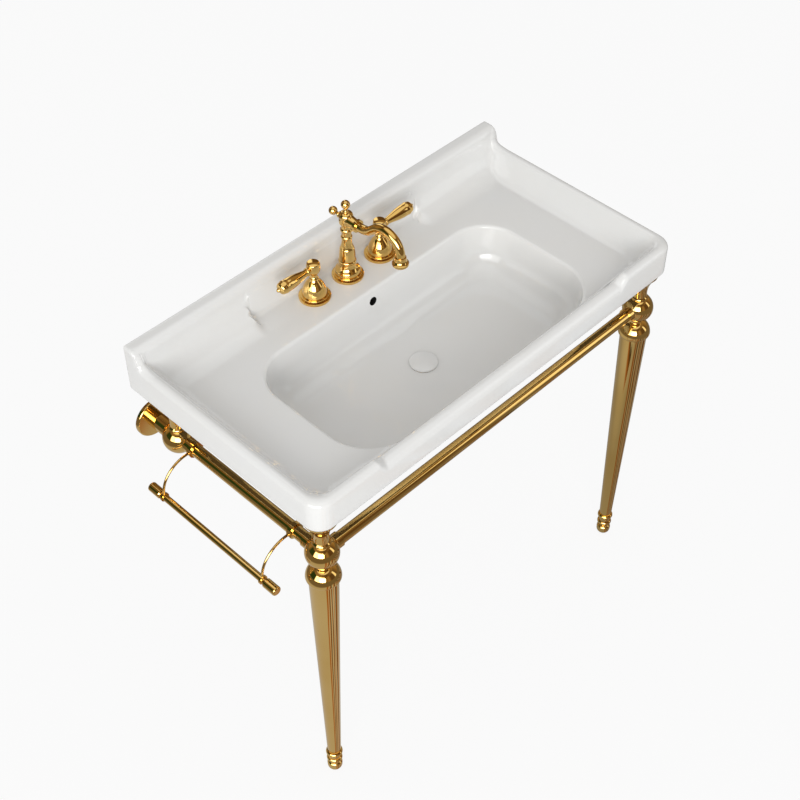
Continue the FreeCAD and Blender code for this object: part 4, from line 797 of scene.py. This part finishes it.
# outlines in millimetres, as (radius, height[, bow]) stops
HUB = [(0, 50.4), (7.9, 50.4), (7.9, 52.4, 0.2), (6.9, 54.4), (6.9, 57.4), (10.9, 63.4, -0.1),
       (13.9, 79.9, 0.08), (13.4, 84.9, 0.04), (11.7, 87.9, 0.15), (0, 87.9)]
LEVER = [(0, 4), (6.6, 4), (6.6, 13.9), (8.4, 16.9, 0.25), (6.8, 19.9, 0.25), (9.8, 38), (13.6, 74, 0.03),
         (12.9, 82, 0.1), (6.0, 90, 0.2), (5.2, 90.6), (4.6, 92.5, 0.1), (0, 96.8, 0.12)]
LEVER_HEIGHT = 73.65


class SINK_OT_handles(Operator):
    """Turn the two handles: barrel hub on a neck and a swelling lever with a blunt nib"""
    bl_idname = "sink.handles"
    bl_label = "Handles"

    def execute(self, context):
        sizes = context.scene.sink_basin
        deck = sizes.rim_top - sizes.deck_drop
        for name, side in SIDES:
            hub = turned("handle_turned_" + name, HUB)
            lever = placed(turned("lever", LEVER), (0, 0, LEVER_HEIGHT / 1000), (0, side * math.pi / 2, 0))
            apply_boolean(hub, lever, "UNION", "EXACT")
            placed(hub, (side * FAUCET_SPACING, FAUCET_Y, deck))
            smooth(hub, degrees=35)
            dress(hub, "brass", "handle_" + name, "handle_" + name)
        return {"FINISHED"}


# -------- basin operator
CHANNEL_HALF, CHANNEL_LOW, CHANNEL_FOOT_TOP = 0.0228, -0.0990, -0.0705
APRON_INSIDE = (0.0144, 0.026)    # distance from the outer face to the faces of the apron's inner side


def underside_blocks(sizes):
    """Wall skirt, overflow channel and corner pads."""
    top = sizes.rim_top - sizes.deck_drop - DECK_WALL + REACH_IN
    low = sizes.rim_top - sizes.apron_drop + PAD_CLEAR
    blocks = [slab("skirt", (-0.190, -0.018, -0.025), (0.190, -CLEAR, top)),
              slab("channel", (-CHANNEL_HALF, -0.146, CHANNEL_LOW), (CHANNEL_HALF, -0.116, top)),
              slab("channel_foot", (-CHANNEL_HALF, -0.285, CHANNEL_LOW),
                   (CHANNEL_HALF, -0.120, CHANNEL_FOOT_TOP))]
    blocks += [cutter("pad", x, y, (low + top) / 2, PAD_R, top - low)
               for x in (-LEG_X, LEG_X) for y in (LEG_Y, REAR_CUP_Y)]
    return blocks


def basin_holes(sizes):
    """Faucet holes, fixing holes, drain hole, overflow and the bore behind it."""
    deck = sizes.rim_top - sizes.deck_drop
    long = 0.060
    holes = [cutter("faucet_hole", x, FAUCET_Y, deck - DECK_WALL, FAUCET_HOLE_R, long)
             for x in (-FAUCET_SPACING, 0.0, FAUCET_SPACING)]
    holes += [cutter("fixing_hole", x, -0.010, 0.0, FIXING_HOLE_R, long, "Y", 32)
              for x in (-FIXING_X, FIXING_X)]
    holes.append(cutter("drain_hole", *DRAIN, -0.080, DRAIN_HOLE_R + CLEAR, long))
    holes.append(cutter("overflow", 0.0, -0.160, deck - OVERFLOW_DROP, OVERFLOW_R, long, "Y", 48))
    holes.append(slab("channel_bore", (-0.014, -0.137, -0.0905), (0.014, -0.125, deck - 0.016)))
    return holes


def in_channel(face, deck):
    """Whether a face lies in the overflow hole or in the bore behind it."""
    x, y, z = face.center
    in_bore = abs(x) < 0.0142 and -0.1385 < y < -0.1245 and -0.0906 < z < deck - 0.0155
    in_hole = math.hypot(x, z - deck + OVERFLOW_DROP) < OVERFLOW_R + 0.0002 and abs(face.normal.y) < 0.3
    return in_bore or in_hole and y < -0.12


def inside_apron(face, sizes):
    """Whether a face lies on the inner side of the apron."""
    x, y, _ = face.center
    beside, ahead = sizes.width / 2 - abs(x), sizes.depth + y
    near, far = APRON_INSIDE
    across = near < beside < far and face.normal.x * x < 0 and y < -0.012
    along = near < ahead < far and face.normal.y > 0 and beside > near
    return abs(face.normal.z) < 0.5 and (across or along)


class SINK_OT_basin(Operator):
    """Model the glazed basin: rims, lip, faucet bay, deck, bowl, overflow and underside"""
    bl_idname = "sink.basin"
    bl_label = "Basin"

    def execute(self, context):
        sizes, finishes = context.scene.sink_basin, context.scene.sink_finishes
        basin = joined_rings("basin_glazed", basin_rings(sizes))
        weld(basin, 0.000002)
        combine(basin, underside_blocks(sizes), "UNION")
        combine(basin, basin_holes(sizes), "DIFFERENCE")
        smooth(basin, degrees=40)
        dress(basin, "ceramic", STAND, "basin")
        basin.data.materials.append(shaded_clay_material(finishes))
        basin.data.materials.append(channel_shade_material(finishes))
        deck = sizes.rim_top - sizes.deck_drop
        low = sizes.rim_top - sizes.apron_drop + 0.002
        for face in basin.data.polygons:
            height = face.center.z
            # faces that look down or line the apron take the clay colour, whose darkness is painted shade
            bare = face.normal.z < -0.3 or height < deck - DECK_WALL and inside_apron(face, sizes)
            # faces inside the overflow hole and bore take the painted shade
            if in_channel(face, deck):
                face.material_index = 2
            elif low < height < deck - 0.01 and bare:
                face.material_index = 1
        return {"FINISHED"}


# -------- pieces that keep their CAD form
def both(*stems):
    """The left and the right node of each stem."""
    return [stem + "_" + name for stem in stems for name, _ in SIDES]


def finish(nodes):
    """Give these nodes the finish of their slot."""
    slots = {piece["node"]: piece["material_slot"] for piece in frame["record"]["subparts"]}
    for node in nodes:
        materials = frame["nodes"][node].data.materials
        materials.clear()
        materials.append(finish_of(slots[node]))


class SINK_OT_legs(Operator):
    """Two front legs with their collars, feet, rubber pads, inserts and studs"""
    bl_idname = "sink.legs"
    bl_label = "Legs"

    def execute(self, context):
        finish(both("front_leg", "leg_collar", "leg_foot") + ["foot_pads", "leg_studs", "leg_inserts"])
        return {"FINISHED"}


class SINK_OT_corners(Operator):
    """Four corner balls and the trumpet cups that carry the basin"""
    bl_idname = "sink.corners"
    bl_label = "Corner balls and cups"

    def execute(self, context):
        finish(both("ball_front", "ball_rear", "support_cup_front", "support_cup_rear")
               + ["cup_studs", "support_pads"])
        return {"FINISHED"}


class SINK_OT_rails(Operator):
    """Front rail, side rails, their sleeves and set screws"""
    bl_idname = "sink.rails"
    bl_label = "Rails"

    def execute(self, context):
        finish(both("side_rail") + ["front_rail", "rail_sleeves", "rail_set_screws"])
        return {"FINISHED"}


class SINK_OT_wall_flanges(Operator):
    """Two wall flanges, the plates behind them and their screws"""
    bl_idname = "sink.wall_flanges"
    bl_label = "Wall flanges"

    def execute(self, context):
        finish(both("wall_flange") + ["wall_plates", "wall_flange_screws"])
        return {"FINISHED"}


class SINK_OT_towel_bar(Operator):
    """Towel bar on its two curved arms, with caps and clamp screws"""
    bl_idname = "sink.towel_bar"
    bl_label = "Towel bar"

    def execute(self, context):
        finish(["towel_arm_rear", "towel_arm_front", "towel_bar", "towel_bar_caps", "towel_clamp_screws"])
        return {"FINISHED"}


class SINK_OT_spout(Operator):
    """Spout: base, column, bent tube, outlet, aerator and the two ball finials"""
    bl_idname = "sink.spout"
    bl_label = "Spout"

    def execute(self, context):
        finish(["spout_base", "spout_column", "spout_tube", "spout_outlet", "aerator", "spout_finial_top",
               "spout_finial_rear"])
        return {"FINISHED"}


class SINK_OT_valves(Operator):
    """Handle bases, valves, their stems and the fittings under the deck"""
    bl_idname = "sink.valves"
    bl_label = "Valves"

    def execute(self, context):
        finish(both("handle_base", "valve_body", "valve_stem")
               + ["faucet_washers", "faucet_nuts", "mixer_tubes"])
        return {"FINISHED"}


class SINK_OT_drain(Operator):
    """Drain body, gasket, nut, tailpiece, cap and plunger"""
    bl_idname = "sink.drain"
    bl_label = "Drain"

    def execute(self, context):
        finish(["drain_body", "drain_gasket", "drain_nut", "tailpiece", "drain_cap", "drain_plunger"])
        return {"FINISHED"}


# -------- stage
CAMERA_PLACE = (-1.5367, -1.7400, 2.0102)
CAMERA_FORWARD, CAMERA_UP = (0.4951, 0.4866, -0.7197), (0.5134, 0.5044, 0.6942)
KEY_PLACE, KEY_TARGET, KEY_SIZE = (-5.6, -5.2, 2.4), (0, -0.3, -0.1), (4.8, 3.2)
FLOOR_SIZE, FLOOR_GREY = 30, 0.7

# the mirrored floor dims to a share on the right, over a run each side of the middle, and gets dark between
# two distances from its centre
RIGHT_SHARE, RIGHT_RUN = 0.62, 0.2
FAR_CENTRE, FAR_START, FAR_END = (0.0, -0.4, FLOOR_Z), 1.4, 1.8

# heights in the mirrored room, as sines of the angle above the horizon
SKIRTING_TOP, WINDOW_TOP, CORNICE_TOP = 0.08, 0.62, 0.82

# tones of the mirrored floor and room
PALE, WOOD, DARK, FAR = (0.66, 0.72, 0.80), (0.40, 0.17, 0.04), (0.06, 0.045, 0.02), (0.20, 0.17, 0.13)
GLASS, PANE, PLANT = (4.0, 4.0, 3.9), (1.4, 1.4, 1.35), (0.03, 0.06, 0.02)
WALL, TRIM = (0.13, 0.08, 0.04), (0.40, 0.28, 0.14)


def grey(level):
    """A colour without a hue."""
    return (level, level, level)


def look_at(piece, forward, up):
    """Point a camera or a lamp."""
    forward, up = Vector(forward).normalized(), Vector(up).normalized()
    right = forward.cross(up).normalized()
    up = right.cross(forward)
    piece.rotation_euler = Matrix((right, up, -forward)).transposed().to_euler()


def area_light(name, place, target, size, watts):
    """A rectangular lamp that faces its target."""
    data = bpy.data.lights.new(name, "AREA")
    data.shape = "RECTANGLE"
    data.size, data.size_y = size
    data.energy = watts
    lamp = bpy.data.objects.new(name, data)
    bpy.context.scene.collection.objects.link(lamp)
    lamp.location = place
    look_at(lamp, Vector(target) - Vector(place), (0, 0.01, 1))


def mirrored_floor(tree, studio):
    """What polished brass shows of the floor: an even tone with boards to the front right of each leg,
    dimmer towards the right and dark further away."""
    even = grey(studio.mirrored)
    place = tree.nodes.new("ShaderNodeTexCoord").outputs["Object"]
    x, y, _ = add_axes(tree, place)
    side = add_math(tree, "SIGN", x, 0.0)
    across = add_math(tree, "SUBTRACT", x, add_math(tree, "MULTIPLY", side, LEG_X))
    along = add_math(tree, "SUBTRACT", y, LEG_Y)
    noise = add_noise(tree, scale=5.0, detail=2.0)
    wander = add_math(tree, "MULTIPLY", add_math(tree, "SUBTRACT", noise, 0.5), 0.05)
    bearing = add_math(tree, "ADD", add_bearing(tree, across, along), wander)
    boards = ((0.165, even), (0.178, WOOD), (0.200, WOOD), (0.212, PALE), (0.228, WOOD), (0.243, DARK),
              (0.262, PALE), (0.285, WOOD), (0.300, DARK), (0.318, PALE), (0.340, WOOD), (0.372, PALE),
              (0.390, DARK), (0.420, WOOD), (0.450, even), (0.900, even))
    tone = add_ramp(tree, bearing, boards)
    near = add_choice(tree, add_fade(tree, x, -RIGHT_RUN, RIGHT_RUN), glow(tree, tone),
                      glow(tree, tone, RIGHT_SHARE))
    away = tree.nodes.new("ShaderNodeVectorMath")
    away.operation = "DISTANCE"
    away.inputs[1].default_value = FAR_CENTRE
    tree.links.new(place, away.inputs[0])
    far = add_fade(tree, away.outputs["Value"], FAR_START, FAR_END)
    return add_choice(tree, far, near, glow(tree, FAR))


def floor_material(studio):
    """Plain pale floor that keeps a faint shadow; polished metal sees it as a boarded floor."""
    material, tree, shader = new_material("pale_floor", (*grey(FLOOR_GREY), 1), 0.0, 0.9)
    shader.inputs["Specular IOR Level"].default_value = 0.1
    seen = tree.nodes.new("ShaderNodeLightPath")
    lit = add_choice(tree, seen.outputs["Is Glossy Ray"], shader.outputs["BSDF"],
                     mirrored_floor(tree, studio))
    share = add_math(tree, "MULTIPLY", seen.outputs["Is Camera Ray"], studio.floor_glow)
    surface = add_choice(tree, share, lit, glow(tree, grey(studio.backdrop)))
    tree.links.new(surface, tree.nodes["Material Output"].inputs["Surface"])
    return material


def mirrored_room(tree, x, y, z, studio):
    """What polished surfaces show of the room: windows with the widest to the front left, dark walls between
    and above them, and a pale ceiling."""
    bearing = add_bearing(tree, x, y)
    windows = add_ramp(tree, bearing, (
        (0.005, GLASS), (0.150, GLASS), (0.160, WALL), (0.230, TRIM), (0.270, WALL), (0.340, WALL),
        (0.350, PANE), (0.375, PANE), (0.385, WALL), (0.480, TRIM), (0.540, WALL), (0.640, WALL),
        (0.650, PANE), (0.690, PANE), (0.700, WALL), (0.830, TRIM), (0.880, PLANT), (0.965, PLANT),
        (0.975, WALL), (0.995, GLASS)))
    cornice = add_ramp(tree, bearing, ((0.0, TRIM), (0.2, WALL), (0.5, TRIM), (0.8, WALL), (1.0, TRIM)))
    ceiling = (studio.ceiling, studio.ceiling * 0.97, studio.ceiling * 0.90)
    above = add_choice(tree, add_math(tree, "GREATER_THAN", z, CORNICE_TOP), glow(tree, cornice),
                       glow(tree, ceiling))
    room = add_choice(tree, add_math(tree, "GREATER_THAN", z, WINDOW_TOP), glow(tree, windows), above)
    return add_choice(tree, add_math(tree, "LESS_THAN", z, SKIRTING_TOP), room, glow(tree, FAR))


def studio_world(studio):
    """Light from all round, with what the camera and polished surfaces see of it."""
    world = bpy.data.worlds.new("studio")
    world.use_nodes = True
    tree = world.node_tree
    x, y, z = add_axes(tree, tree.nodes.new("ShaderNodeTexCoord").outputs["Generated"])
    around = add_ramp(tree, z, ((0.0, grey(studio.light)), (0.9, grey(studio.overhead))))
    seen = tree.nodes.new("ShaderNodeLightPath")
    lit = add_choice(tree, seen.outputs["Is Glossy Ray"], glow(tree, around),
                     mirrored_room(tree, x, y, z, studio))
    surface = add_choice(tree, seen.outputs["Is Camera Ray"], lit, glow(tree, grey(studio.backdrop)))
    tree.links.new(surface, tree.nodes["World Output"].inputs["Surface"])
    return world


class SINK_OT_stage(Operator):
    """Set up the camera, the pale floor, the lamp and the surrounding light"""
    bl_idname = "sink.stage"
    bl_label = "Stage"

    def execute(self, context):
        scene = context.scene
        studio = scene.sink_studio
        data = bpy.data.cameras.new("camera")
        data.lens = studio.lens
        camera = bpy.data.objects.new("camera", data)
        scene.collection.objects.link(camera)
        camera.location = CAMERA_PLACE
        look_at(camera, CAMERA_FORWARD, CAMERA_UP)
        scene.camera = camera
        bpy.ops.mesh.primitive_plane_add(size=FLOOR_SIZE, location=(0, 0, FLOOR_Z))
        floor = just_added("floor")
        floor.data.materials.append(floor_material(studio))
        scene.world = studio_world(studio)
        area_light("key_light", KEY_PLACE, KEY_TARGET, KEY_SIZE, studio.key)
        scene.view_settings.view_transform = "Standard"
        return {"FINISHED"}


class SINK_PT_panel(Panel):
    """Lists the sink's pieces and finishes"""
    bl_idname = "SINK_PT_panel"
    bl_label = "Console Sink"
    bl_space_type = "VIEW_3D"
    bl_region_type = "UI"
    bl_category = "Console Sink"

    def draw(self, context):
        layout = self.layout
        scene = context.scene
        for group in (scene.sink_basin, scene.sink_finishes, scene.sink_studio):
            box = layout.box()
            for name in group.__annotations__:
                box.prop(group, name)
        for operator in OPERATORS:
            layout.operator(operator.bl_idname)


OPERATORS = (SINK_OT_stage, SINK_OT_basin, SINK_OT_legs, SINK_OT_corners, SINK_OT_rails,
             SINK_OT_wall_flanges, SINK_OT_towel_bar, SINK_OT_spout, SINK_OT_valves, SINK_OT_handles,
             SINK_OT_drain)
CLASSES = (SinkBasinSizes, SinkFinishes, SinkStudio) + OPERATORS + (SINK_PT_panel,)


def register():
    for cls in CLASSES:
        bpy.utils.register_class(cls)
    bpy.types.Scene.sink_basin = PointerProperty(type=SinkBasinSizes)
    bpy.types.Scene.sink_finishes = PointerProperty(type=SinkFinishes)
    bpy.types.Scene.sink_studio = PointerProperty(type=SinkStudio)


def unregister():
    del bpy.types.Scene.sink_studio
    del bpy.types.Scene.sink_finishes
    del bpy.types.Scene.sink_basin
    for cls in reversed(CLASSES):
        bpy.utils.unregister_class(cls)


def main():
    register()
    bpy.ops.sink.stage()
    bpy.ops.sink.basin()
    bpy.ops.sink.legs()
    bpy.ops.sink.corners()
    bpy.ops.sink.rails()
    bpy.ops.sink.wall_flanges()
    bpy.ops.sink.towel_bar()
    bpy.ops.sink.spout()
    bpy.ops.sink.valves()
    bpy.ops.sink.handles()
    bpy.ops.sink.drain()


if __name__ == "__main__":
    main()
